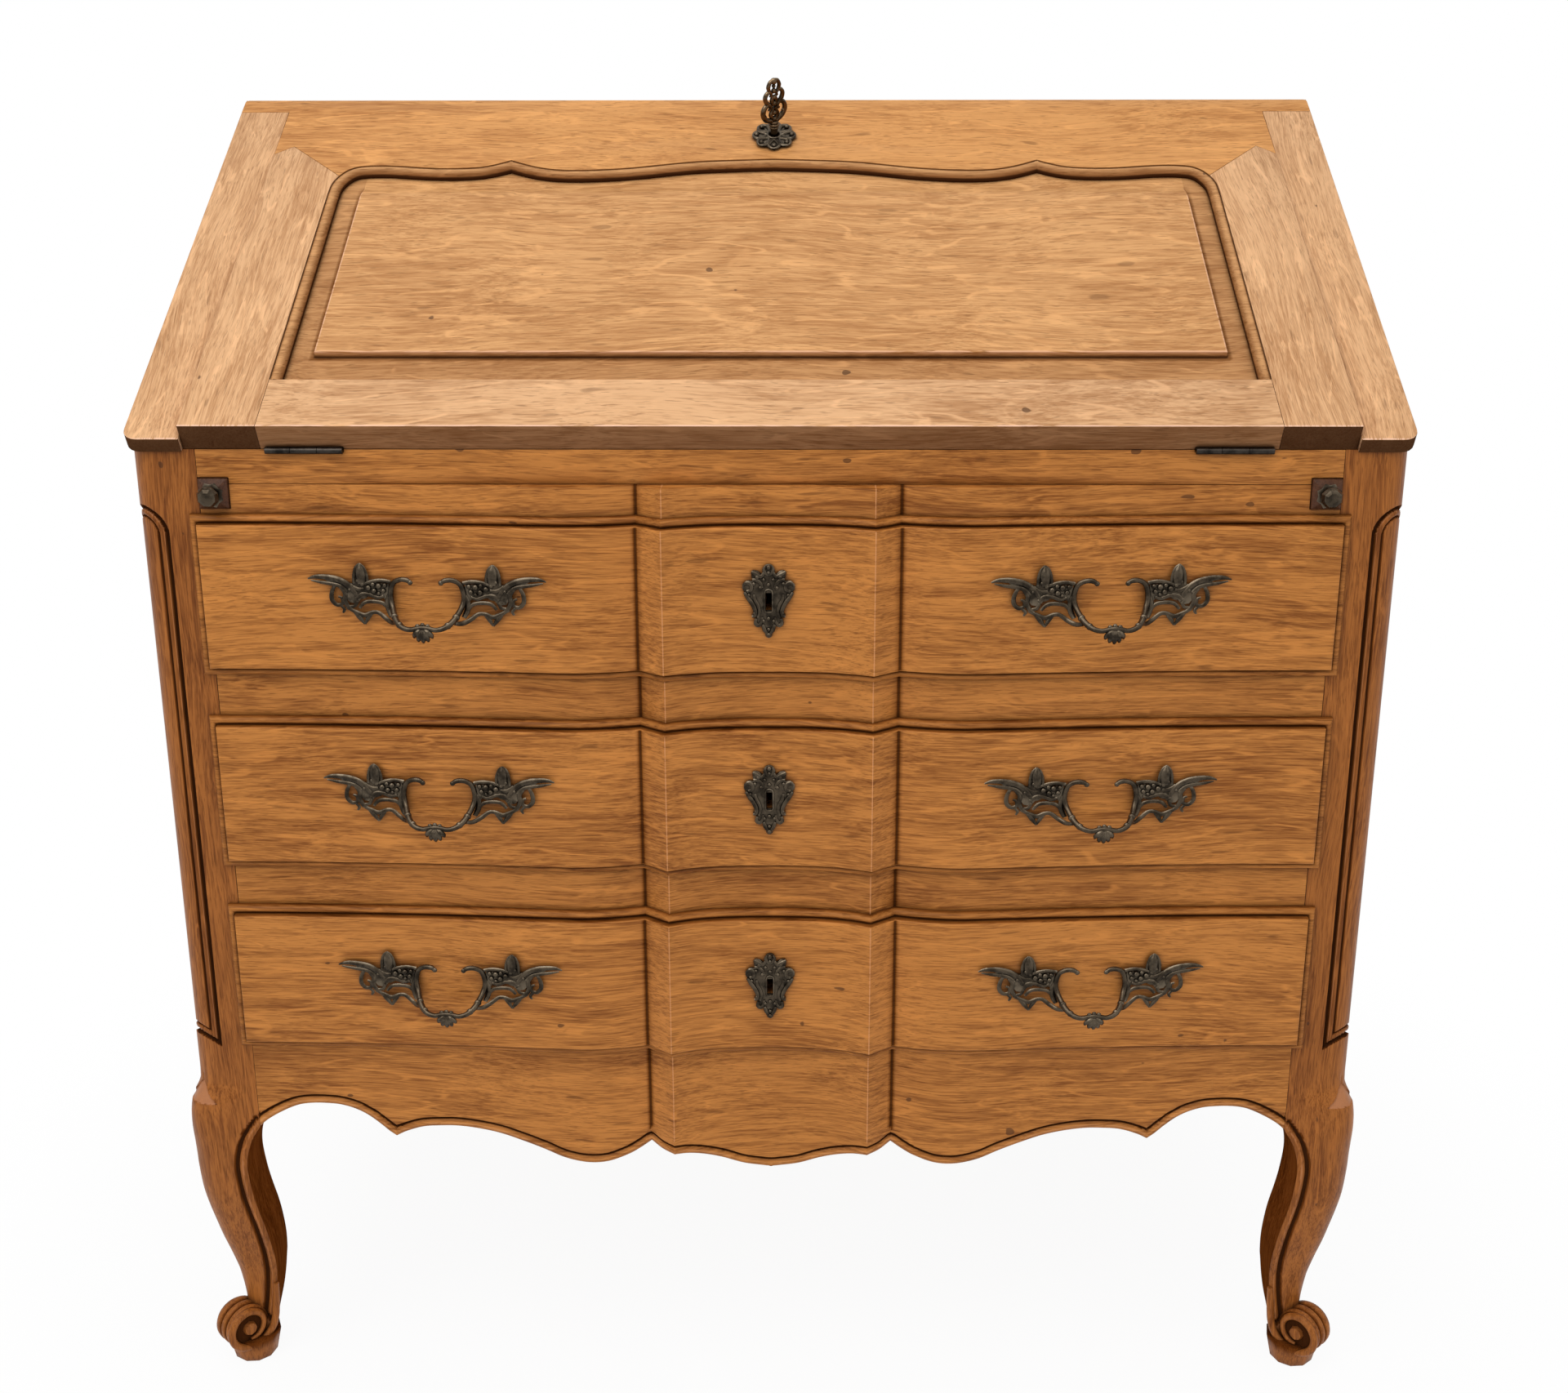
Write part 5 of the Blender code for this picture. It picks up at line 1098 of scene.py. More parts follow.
def drawer_front_mesh(node):
    """A lipped, beaded and fielded front, bent along the serpentine line."""
    low_corner, high_corner = low(node), high(node)
    half = (high_corner.x - low_corner.x) / 2 + LIP_WIDER
    bm = bmesh.new()
    add = vertex_maker(bm)
    stations = [x for x in front_stations() if abs(x) < FRONT_HALF - 12 * MM]

    def ring(inset, proud, stain_and_painted_light):
        x0, x1 = -half + inset, half - inset
        z0, z1 = low_corner.z + inset, high_corner.z - inset
        xs = [x0] + stations + [x1]
        return [add((x, FRONT_Y - proud - bow(x), z), stain_and_painted_light if stain_and_painted_light > 0 else crease_shade_wear_and_highlight(x))
                for x, z in [(x, z0) for x in xs] + [(x, z1) for x in reversed(xs)]]
    rings = [ring(inset * MM, proud * MM, stain_and_painted_light) for (inset, proud), stain_and_painted_light in zip(FRONT_EDGE, FRONT_STAIN)]
    skin(bm, rings)

    def close(verts):
        count = len(verts) // 2
        for i in range(count - 1):
            bm.faces.new((verts[i], verts[i + 1], verts[-i - 2], verts[-i - 1]))
    close(rings[0])
    close(rings[-1])
    add_box(bm, (-half + CORE_IN, FRONT_Y - 1.5 * MM, low_corner.z + CORE_IN),
            (half - CORE_IN, high_corner.y, high_corner.z - CORE_IN))
    return bm


def cut_box(obj, first, second):
    """Cut a box, given by two corners, out of a finished piece."""
    bm = bmesh.new()
    add_box(bm, first, second)
    cut_mesh(obj, bm)


def cut_mesh(obj, bm):
    """Cut a closed mesh out of a finished piece, which keeps its place in the wood."""
    board = obj.data.attributes["board"].data[0].value
    mesh = bpy.data.meshes.new("cutter")
    bm.to_mesh(mesh)
    bm.free()
    cutter = bpy.data.objects.new("cutter", mesh)
    bpy.context.scene.collection.objects.link(cutter)
    step = obj.modifiers.new("cut", "BOOLEAN")
    step.object = cutter
    step.operation = "DIFFERENCE"
    step.solver = "EXACT"
    bpy.context.view_layer.update()
    result = bpy.data.meshes.new_from_object(obj.evaluated_get(bpy.context.evaluated_depsgraph_get()))
    obj.modifiers.clear()
    obj.data = result
    for value in result.attributes["board"].data:
        value.value = board
    bpy.data.objects.remove(cutter)


class DESK_OT_drawers(bpy.types.Operator):
    """Three long drawers: fielded fronts, boxes and locks"""
    bl_idname = "desk.drawers"
    bl_label = "Drawers"

    def execute(self, context):
        for name in DRAWERS:
            bm = drawer_front_mesh(name + "_front")
            mark(bm)
            front = make_piece(name + "_front_fielded", bm, name, "walnut_across", (name + "_front",), 45)
            reach = Vector((KEYHOLE_HALF.x, 30 * MM, KEYHOLE_HALF.z))
            keyhole = Vector((0, FRONT_Y, middle(name + "_front").z))
            cut_box(front, keyhole - reach, keyhole + reach)
            worn_board(name + "_tray", name, "oak_deep", 0.6 * MM)
            worn_board(name + "_lock", name, "old_steel", 0.4 * MM)
            worn_board(name + "_bolt", name + "_lock_bolt", "old_steel", 0.4 * MM)
        return {"FINISHED"}


# Lid

# The flush edge of the lid's opening: distance from the middle and up the lid, in mm. The cusp is sharp.
OPENING_ARCH = ((0, 351.8), (64, 347.8), (121, 337.8), (165, 334.8), (192, 338.8), (217, 349.8))
OPENING_SIDE = ((217, 349.8), (241, 339.8), (275, 337.8), (316, 341.8), (338, 341), (348.5, 336.5), (355.5, 327.5),
                (360, 315), (361, 300))
OPENING_LOW = 56.2
OPENING_FLOOR, OPENING_CUT_TOP = 12.3, 40
# The bead in the opening: its radius, how far in from the edge, and how far below the lid's face, in mm
BEAD_RADIUS, BEAD_IN, BEAD_DOWN = 4.8, 3.7, 4.7


def opening_lines():
    """The opening's edge in two lengths for the right half."""
    arch = smooth_line([(x, u, 0) for x, u in OPENING_ARCH], 6)
    edge = smooth_line([(x, u, 0) for x, u in OPENING_SIDE], 6)
    return arch, edge + [Vector((361, u, 0)) for u in (240, 180, 120, OPENING_LOW)]


def moved_in(line, distance):
    """The line moved towards the middle of the opening."""
    result = []
    for i, point in enumerate(line):
        along = (line[min(i + 1, len(line) - 1)] - line[max(i - 1, 0)]).normalized()
        result.append(point + Vector((along.y, -along.x, 0)) * distance)
    return result


# How near the hinges a board's lower end counts as the lid's own edge
NEAR_HINGE = 20 * MM
# The corner that the CAD gives the outer stiles, and a reach that holds all of it
CAD_CORNER, CORNER_REACH = 6 * MM, 6.5 * MM


def lid_board(node, finish, radius, drop=0.0, corner=0.0, end_grain_and_shade=0.90):
    """One board of the lid, its lower end face darkened for its end grain and as painted shade where it faces down,
    the edge above it made pale, and, at the outer corner, rounded.
    """
    back = LID_FRAME.inverted()
    bm = node_copy(node)
    end = min((back @ v.co).y for v in bm.verts)
    ending = [back @ v.co for v in bm.verts if (back @ v.co).y < end + NEAR_HINGE]
    surface = max(p.z for p in ending)
    lip = min(p.y for p in ending if p.z > surface - 0.3 * MM)
    wide = max(abs((back @ v.co).x) for v in bm.verts)
    for vert in bm.verts:
        place = back @ vert.co
        base = lip if place.z > surface - 4 * MM else end
        if (drop or corner) and place.y < base + CORNER_REACH:
            if wide - abs(place.x) < CORNER_REACH and corner:
                place.x = math.copysign(wide - (wide - abs(place.x)) * corner / CAD_CORNER, place.x)
                place.y = base + (place.y - base) * corner / CAD_CORNER
            place.y -= drop
            vert.co = LID_FRAME @ place
    soften(bm, radius)
    lip -= drop
    lowest = lip < NEAR_HINGE
    if lowest:
        reach = LID_AT.dot(LID_ALONG) + lip
        cut_across(bm, (reach + 0.9 * MM, reach + 1.8 * MM, reach + corner + 2 * MM), LID_ALONG)
    mark(bm)
    bm.normal_update()
    layer = bm.verts.layers.float["stain_and_painted_light"]
    turn = back.to_3x3()
    for vert in bm.verts:
        place, facing = back @ vert.co, turn @ vert.normal
        near = place.y - lip - (corner if wide - abs(place.x) < corner + 0.5 * MM else 0.0)
        # the end face: end grain and painted shade
        if lowest and near < 0.5 * MM and facing.z < 0.62:
            vert[layer] = end_grain_and_shade
        elif lowest and (place.y < lip + 0.95 * MM or (near < 0.5 * MM and facing.z < 0.9)):
            vert[layer] = -0.8
    return make_piece(node + "_board", bm, "lid", finish, (node,))


# Where the panel's two boards join
JOINT_U = 148.0


class DESK_OT_lid(bpy.types.Operator):
    """Framed lid: stiles, rails, moulded opening and raised panel"""
    bl_idname = "desk.lid"
    bl_label = "Lid"

    def execute(self, context):
        seam = context.scene.desk_wood.seam
        cut = []
        for word, _ in SIDES:
            lid_board("lid_%s_outer_stile" % word, "lid_slope", 0.5 * MM, 3.6 * MM, 11 * MM)
            cut.append(lid_board("lid_%s_inner_stile" % word, "lid_slope", seam))
        cut.append(lid_board("lid_top_rail", "lid_top", 0.35 * MM))
        lid_board("lid_bottom_rail", "lid_low", seam, end_grain_and_shade=0.64)
        for obj in cut:
            cut_mesh(obj, self.opening())
        self.panel()
        self.moulding()
        return {"FINISHED"}

    def opening(self):
        """A block the shape of the opening, as deep as its moulding lies."""
        arch, edge = opening_lines()
        half = arch + edge[1:]
        outline = half + [Vector((-p.x, p.y, 0)) for p in reversed(half[1:])]
        bm = bmesh.new()
        rings = [[bm.verts.new(LID_FRAME @ Vector((p.x * MM, p.y * MM, v))) for p in outline]
                 for v in (OPENING_FLOOR * MM, OPENING_CUT_TOP * MM)]
        skin(bm, rings, True)
        bmesh.ops.recalc_face_normals(bm, faces=bm.faces)
        return bm

    def moulding(self):
        """The bead that runs round the opening, in four lengths that meet at the cusps, with a painted shadow on its
        inner side.
        """
        arch, edge = opening_lines()
        points, edges = [], []
        v = LID_OUTER_V - BEAD_DOWN * MM
        for side in (-1, 1):
            for line in (moved_in(arch, BEAD_IN), moved_in(edge, BEAD_IN)):
                start = len(points)
                points += [LID_FRAME @ Vector((side * p.x * MM, p.y * MM, v)) for p in line]
                edges += [(start + i, start + i + 1) for i in range(len(line) - 1)]
        bm = bmesh.new()
        add_mesh(bm, grown(moulding_tree, points, edges, {
            "Radius": BEAD_RADIUS * MM, "Sides": 18, "Finish": finish_named("lid_across")}))
        mark(bm)
        layer = bm.verts.layers.float["stain_and_painted_light"]
        back = LID_FRAME.inverted()
        lines = [[(p.x, p.y) for p in line] for line in (arch, edge)]
        # darker further in from the flush edge and darkest on the low inner side, as painted shadow; a thin darker
        # line along the flush edge
        for vert in bm.verts:
            place = back @ vert.co
            inside = min(line_distance(abs(place.x) / MM, place.y / MM, line) for line in lines)
            deep = (LID_OUTER_V - place.z) / MM
            vert[layer] = 0.16 if inside < 4.6 else 0.16 + 0.09 * (inside - 4.6)
            if deep > 3.2 and inside > 4:
                vert[layer] = 0.95
            elif inside < 0.8:
                vert[layer] = 0.3
        make_piece("lid_opening_bead", bm, "lid", "lid_across", (), 60)

    def panel(self):
        """The panel: a fielded board with sharp edges below and at the sides that fades out above."""
        half, low_u, high_u = 360.7, OPENING_LOW, 356.0
        field_x, field_low, fade_low, fade_high = 335.0, 91.5, 298.0, 322.0
        base, field_rise, margin = 12.6, 5.4, 12
        near = [0.0, 0.25, 1.9, 5, margin]
        xs = [-half] + [-field_x - d for d in reversed(near)] + [-field_x + 0.7, -field_x + 1.5, -field_x + 6]
        count = len(xs)
        xs += [-field_x + 6 + (2 * field_x - 12) * i / 24 for i in range(1, 24)]
        xs += [-x for x in reversed(xs[:count])]
        us = [low_u] + [field_low - d for d in reversed(near)] + [field_low + 0.7, field_low + 1.5, field_low + 6]
        us += [field_low + 6 + (fade_low - field_low - 6) * i / 10 for i in range(1, 11)]
        us += [fade_low + (fade_high - fade_low) * i / 6 for i in range(1, 7)] + [332, high_u]
        us = sorted(us + [JOINT_U - 0.9, JOINT_U - 0.35, JOINT_U, JOINT_U + 0.35, JOINT_U + 0.9])
        bm = bmesh.new()
        add = vertex_maker(bm)

        def level(x, u):
            """Height above the sunk margin, and stain: a darker margin, a dark joint, painted shadow at the foot of
            the field's raised edge and a pale worn line with a painted highlight along that edge.
            """
            out = max(abs(x) - field_x, field_low - u)
            share = clamp((fade_high - u) / (fade_high - fade_low))
            rise = field_rise * share * share * (3 - 2 * share)
            if out > margin:
                return 0.0, 0.2
            if out > 0.1:
                return 0.0, 0.2 + 0.75 * share * max(0.0, 1 - out / 4)
            if out > -0.1:
                return max(0.0, rise - 0.5), -0.7 * share
            if out > -1.0:
                return rise, -0.7 * share
            return rise, 0.62 if abs(u - JOINT_U) < 0.3 else 0.0
        rows = []
        for u in us:
            row = []
            for x in xs:
                height, stain_and_painted_light = level(x, u)
                row.append(add((x * MM, u * MM, (base + height) * MM), stain_and_painted_light))
            rows.append(row)
        for first, second in zip(rows, rows[1:]):
            for a, b, c, d in zip(first, first[1:], second[1:], second):
                bm.faces.new((a, b, c, d))
        border = rows[0] + [row[-1] for row in rows[1:]] + rows[-1][-2::-1] + [row[0] for row in rows[-2:0:-1]]
        under = [bm.verts.new((v.co.x, v.co.y, LID_UNDER_V)) for v in border]
        skin(bm, [border, under])
        bm.faces.new(under)
        place_all(bm, LID_FRAME)
        mark(bm)
        make_piece("lid_panel_fielded", bm, "lid", "lid_across", ("lid_panel",), 30)


# How far the end of a lid support narrows towards its knob
CAP_SHARE = 0.42


class DESK_OT_lid_supports(bpy.types.Operator):
    """Pull-out lid supports with their dark caps and faceted knobs"""
    bl_idname = "desk.lid_supports"
    bl_label = "Lid Supports"

    def execute(self, context):
        for word, _ in SIDES:
            node = word + "_loper"
            bm = node_copy(node)
            face, centre = low(node).y, middle(node)
            cut_across(bm, (face + 5 * MM,), (0, 1, 0))
            for vert in bm.verts:
                if vert.co.y < face + 0.1 * MM:
                    vert.co.x = centre.x + (vert.co.x - centre.x) * CAP_SHARE
                    vert.co.z = centre.z + (vert.co.z - centre.z) * CAP_SHARE
            soften(bm, 0.5 * MM)
            mark(bm)
            make_piece(node + "_capped", bm, word + "_support", "stained_dark", (node,))
            node += "_knob"
            centre = middle(node)
            bm = bmesh.new()
            sides = 8
            table = ((8.2, 12.4), (8.5, 11.6), (6.6, 11.0), (4.0, 10.6), (4.2, 9.2), (6.2, 7.6), (7.8, 5.8),
                     (7.9, 4.0), (6.4, 1.6), (4.0, 0.4), (0.1, 0.1))
            rings = []
            for radius, back in table:
                petal = 1.12 if back > 11.2 else 1.0
                ring = []
                for i in range(sides * 2):
                    angle = math.pi * i / sides + math.pi / sides
                    reach = radius * (petal if i % 2 == 0 else 0.93)
                    ring.append(bm.verts.new((centre.x + reach * MM * math.cos(angle), low(node).y + back * MM,
                                              centre.z + reach * MM * math.sin(angle))))
                rings.append(ring)
            skin(bm, rings, True)
            make_piece(node + "_faceted", bm, word + "_support", "bronze", (node,), 20)
        return {"FINISHED"}


# Cast fittings

def stroke(bm, points, flat=0.62, sides=8, steps=4):
    """One leaf or scroll of a casting: each point is x, z, radius and how far forward, in mm."""
    line = smooth_line([p[:3] for p in points], steps)
    outs = smooth_line([(p[3] if len(p) > 3 else 0, 0, 0) for p in points], steps)
    add_sweep(bm, [(p.x * MM, -o.x * MM, p.y * MM) for p, o in zip(line, outs)],
              [max(p.z, 0.15) * MM for p in line], sides, flat, (0, -1, 0))


WING_OUTLINE = (
    (26.5, 12.6), (38.5, 13.2), (42.2, 17), (42.9, 22.5), (45.4, 25.8), (48.0, 22.5), (49.2, 16), (51.5, 12.5),
    (57, 12.8), (64, 14.6), (72, 16.0), (66, 12.2), (60, 9.0), (57.5, 3), (54, -1.5), (49, -2.5), (46, 1.5),
    (41, 3.2), (35, 1.4), (30.5, 2.2), (28.0, -1), (26, -6), (24.8, -1), (25.2, 5))
WING_STROKES = (
    ((82.2, 15.5, 0.5), (77, 17.0, 1.5), (69, 16.8, 2.0), (61, 15.0, 2.2), (54.5, 11.3, 2.1), (50, 5.6, 1.7),
     (48.5, 1.5, 0.8)),
    ((80, 14.4, 0.5), (73, 13.0, 1.2), (66, 12.0, 1.5), (60, 10.4, 1.6), (55.5, 6.4, 1.3)),
    ((64, 10.5, 1.2), (66.2, 5.5, 1.5), (66.3, 0, 1.6), (63, -3.6, 1.5), (59.2, -2.4, 1.3), (59.4, 1.4, 1.1),
     (61.8, 2.6, 0.8)),
    ((60, 9.5, 1.2), (57.0, 5, 1.6), (57.4, 0, 1.7), (55.5, -4.6, 1.6), (52.5, -7.2, 1.2)),
    ((45.2, 12.5, 2.8), (45.3, 18, 3.6), (45.5, 23, 3.2), (45.8, 27, 0.9)),
    ((40.9, 13.0, 1.0), (41.5, 19, 1.2), (43.4, 24.6, 1.1), (46, 27.2, 0.6)),
    ((50.4, 12.5, 1.0), (50.0, 18.5, 1.2), (48.4, 24.2, 1.1), (45.9, 27.2, 0.6)),
    ((25, 13.8, 1.4), (31, 14.8, 1.5), (37, 14.2, 1.5), (43, 12.4, 1.3)),
    ((47.5, -5.5, 1.1), (43.6, -1.4, 1.4), (37, -0.6, 1.5), (31, -2.0, 1.4), (27.4, -6.0, 1.3)),
    ((56, -5.6, 1.1), (50, -8.8, 1.5), (44.5, -11.0, 1.7), (39, -8.8, 1.5), (34.5, -9.0, 1.5), (29.5, -12.6, 1.7, 1.5),
     (24.5, -14.6, 1.8, 5.5), (20.4, -13.4, 1.7, 9.5)),
    ((51.5, -8.0, 1.2), (48, -12.5, 1.8), (44.6, -17.6, 0.7)),
    ((39.4, -9.8, 1.0), (42.4, -13.5, 1.5), (44.4, -17.6, 0.6)),
    ((25.4, 6, 1.5), (27.6, 0, 1.9), (27.2, -6, 2.1), (25.0, -11, 1.7, 2.5)),
    ((49.5, 1.6, 1.2), (45.6, 4.6, 1.5), (40.0, 4.4, 1.5), (34.5, 2.2, 1.4), (30.2, 3.6, 1.1)),
    ((53.2, 12, 1.0), (50.6, 9.6, 1.5), (47.2, 8.2, 1.6), (43.6, 8.8, 1.2)),
    ((61, -3.6, 0.9), (58.2, -6.6, 1.2), (59.4, -9.4, 0.7)),
    ((48.6, 0.0, 1.0), (50.6, -4.0, 1.3), (54.0, -4.6, 0.9)),
)
BERRIES = ((40.6, 9.4, 2.1), (36.6, 7.2, 2.0), (33.4, 10.8, 2.2), (30.2, 7.4, 1.8), (37.2, 12.0, 1.6),
           (29.0, 11.4, 1.7), (44.4, 12.0, 1.6), (33.4, 5.4, 1.3), (47.6, 14.6, 1.4), (53.6, 8.0, 1.2))
BAIL = ((10.6, 14.6, 1.5, 3.2), (13.4, 16.2, 1.9, 2.6), (18.0, 16.2, 1.9, 1.8), (22.6, 13.6, 1.9, 0.8),
        (24.8, 8.5, 1.9, 0.3), (25.3, 2.0, 1.9, 0.3), (23.9, -3.5, 1.95, 2.4), (21.8, -8.0, 2.1, 7.6),
        (19.0, -12.0, 2.2, 12.6), (14.5, -15.0, 2.0, 16.8), (9.0, -16.2, 1.85, 18.4), (4.0, -15.2, 1.9, 18.5),
        (0.0, -14.8, 2.1, 18.5))


PADS_APART = 92 * MM


def pull_mesh():
    """One pull in its own frame: x along the drawer, -y forward from the pads, z up."""
    bm = bmesh.new()
    beads = []
    for hand in (-1, 1):
        outline = [(hand * x * MM, z * MM) for x, z in WING_OUTLINE]
        front = [bm.verts.new((x, -3.4 * MM, z)) for x, z in outline]
        back = [bm.verts.new((x, -1.6 * MM, z)) for x, z in outline]
        skin(bm, [front, back], True)
        for table in WING_STROKES:
            stroke(bm, [(hand * p[0], p[1], p[2], 3.4 + (p[3] if len(p) > 3 else 0)) for p in table])
        beads += [(hand * x, -4.0, z, radius) for x, z, radius in BERRIES]
        add_cone(bm, 20, 6.2, 6.2, 2.4, Matrix.Translation((hand * PADS_APART / 2, -1.2 * MM, 7 * MM))
                 @ Matrix.Rotation(math.pi / 2, 4, "X"))
        beads += [(hand * 10.6, -6.6, 14.5, 1.9), (hand * 21.2, -12.4, -9.2, 2.7), (hand * 16.6, -18.2, -13.8, 2.6)]
    whole = [(-x, z, r, out) for x, z, r, out in BAIL] + [(x, z, r, out) for x, z, r, out in reversed(BAIL[:-1])]
    stroke(bm, [(x, z, r, out + 3.2) for x, z, r, out in whole], 1.0, 12)
    for x, z in ((-5.6, -20.0), (-3.0, -22.6), (0, -23.6), (3.0, -22.6), (5.6, -20.0)):
        stroke(bm, [(x * 0.15, -15.6, 1.3, 22.2), (x * 0.6, (z - 15.6) / 2, 2.2, 23.0), (x, z, 1.9, 22.0),
                    (x * 1.12, z - 2.4, 0.8, 20.8)], 0.8)
    beads += [(x, -21.6, z, 1.8) for x, z in ((-3.4, -13.6), (0, -12.8), (3.4, -13.6))]
    add_beads(bm, beads, "bronze")
    for vert in bm.verts:
        vert.co.x *= 1.05
    return bm


class DESK_OT_pulls(bpy.types.Operator):
    """Cast pulls: pierced leaf wings, a bail and a shell drop"""
    bl_idname = "desk.pulls"
    bl_label = "Drawer Pulls"

    def execute(self, context):
        for name in DRAWERS:
            for word, side in SIDES:
                node = "%s_%s_pull" % (name, word)
                x = middle(node).x
                outer, inner = bow(abs(x) + PADS_APART / 2), bow(abs(x) - PADS_APART / 2)
                proud = FRONT_PROUD + (outer + inner) / 2 + 0.3 * MM
                bm = pull_mesh()
                place_all(bm, Matrix.Translation((x, FRONT_Y - proud, middle(name + "_front").z))
                          @ Matrix.Rotation(side * math.atan2(inner - outer, PADS_APART), 4, "Z"))
                make_piece(node + "_cast", bm, name, "bronze", (node,), 50)
        return {"FINISHED"}


PLATE_OUTLINE = (
    (0, 27.4), (2.6, 26.6), (3.8, 24.0), (3.2, 21.6), (5.0, 20.4), (8.0, 22.4), (11.8, 22.6), (12.4, 19.0),
    (11.4, 15.4), (15.0, 15.4), (18.0, 12.6), (18.8, 9.6), (17.4, 6.8), (16.6, 3.6), (15.2, 0.6), (13.2, -2.4),
    (11.6, -5.0), (10.8, -8.2), (12.2, -9.8), (11.4, -11.8), (9.0, -12.2), (9.6, -15.2), (8.6, -18.4), (6.0, -18.4),
    (4.6, -17.0), (3.8, -20.0), (2.6, -22.8), (2.4, -25.6), (0, -27.2))
PLATE_STROKES = (
    ((3.2, 21.6, 1.0), (5.4, 18.6, 1.5), (9.4, 20.2, 1.8), (12.2, 22.2, 0.9)),
    ((11.6, 16.0, 1.4), (8.4, 15.8, 1.5), (5.6, 13.4, 1.4), (4.8, 10.4, 1.2)),
    ((18.4, 11.8, 0.9), (15.6, 14.0, 1.6), (12.6, 12.4, 1.7), (12.6, 8.8, 1.5), (15.4, 7.6, 1.2)),
    ((17.4, 7.0, 1.0), (14.6, 2.6, 1.6), (11.4, -2.0, 1.7), (9.6, -6.6, 1.6), (9.8, -10.2, 1.3), (12.0, -11.0, 0.8)),
    ((10.6, 5.6, 1.0), (9.6, 1.0, 1.4), (7.4, -3.2, 1.4), (6.6, -7.6, 1.3), (7.6, -11.6, 1.0)),
    ((9.0, -12.4, 1.0), (9.4, -16.0, 1.5), (7.2, -17.6, 1.4), (5.2, -14.8, 1.2), (4.4, -11.4, 0.9)),
    ((4.4, -16.8, 1.0), (3.0, -20.6, 1.6), (1.2, -23.6, 1.1)),
    ((2.2, 26.2, 0.9), (3.2, 23.4, 1.4), (1.8, 20.6, 1.3), (0.3, 19.4, 0.9)),
)
PLATE_BEADS = ((8.2, 18.2, 1.7), (6.0, 10.2, 1.5), (10.6, 13.2, 1.4), (3.6, -14.2, 1.3), (3.4, 16.2, 1.3),
               (10.2, -8.4, 1.1), (14.0, 5.0, 1.2))
PLATE_MIDDLE = ((25.2, 1.8), (21.4, 1.3), (12.6, 1.5), (-12.4, 1.5), (-24.6, 1.8), (-20.4, 1.3))


def plate_mesh(centre, seat):
    """One keyhole plate: a pierced leaf shield with a rim round its slot."""
    bm = bmesh.new()
    outline = [(x, z) for x, z in PLATE_OUTLINE] + [(-x, z) for x, z in reversed(PLATE_OUTLINE[1:-1])]
    line = smooth_line([(x, z, 0) for x, z in outline], 3, True)
    slot = [(2.1, -6.5), (2.1, 6.5), (-2.1, 6.5), (-2.1, -6.5)]
    levels = ((0.0, 1.0), (-1.5, 1.0), (-2.2, 0.94))
    rings = []
    for y, share in levels:
        rings.append([bm.verts.new((p.x * share * MM, y * MM, p.y * share * MM)) for p in line])
    skin(bm, rings)
    holes = []
    for ring in (rings[0], rings[-1]):
        hole = [bm.verts.new((x * MM, ring[0].co.y, z * MM)) for x, z in slot]
        edges = [bm.edges.get((ring[i], ring[(i + 1) % len(ring)])) for i in range(len(ring))]
        edges += [bm.edges.new((hole[i], hole[(i + 1) % 4])) for i in range(4)]
        bmesh.ops.triangle_fill(bm, edges=edges, use_beauty=True)
        holes.append(hole)
    skin(bm, holes)
    beads = []
    for hand in (-1, 1):
        for table in PLATE_STROKES:
            stroke(bm, [(hand * x, z, r, 2.3) for x, z, r in table], 0.7)
        beads += [(hand * x, -2.6, z, radius) for x, z, radius in PLATE_BEADS]
    beads += [(0, -2.7, z, radius) for z, radius in PLATE_MIDDLE]
    add_beads(bm, beads, "bronze")
    rim = [(2.9, 6.0), (2.2, 8.4), (0, 9.2), (-2.2, 8.4), (-2.9, 6.0), (-2.9, -6.0), (-2.2, -7.6), (0, -8.1),
           (2.2, -7.6), (2.9, -6.0), (2.9, 6.0)]
    add_sweep(bm, [(x * MM, -2.5 * MM, z * MM) for x, z in rim], 0.75 * MM, 8)
    place_all(bm, Matrix.Translation((centre.x, seat, centre.z)))
    return bm


class DESK_OT_keyhole_plates(bpy.types.Operator):
    """Cast plates round the drawers' keyholes"""
    bl_idname = "desk.keyhole_plates"
    bl_label = "Keyhole Plates"

    def execute(self, context):
        for name in DRAWERS:
            node = name + "_escutcheon"
            bm = plate_mesh(middle(node), high(node).y)
            make_piece(node + "_cast", bm, name, "bronze", (node,), 50)
        return {"FINISHED"}


KEY_LEAN = math.radians(38)


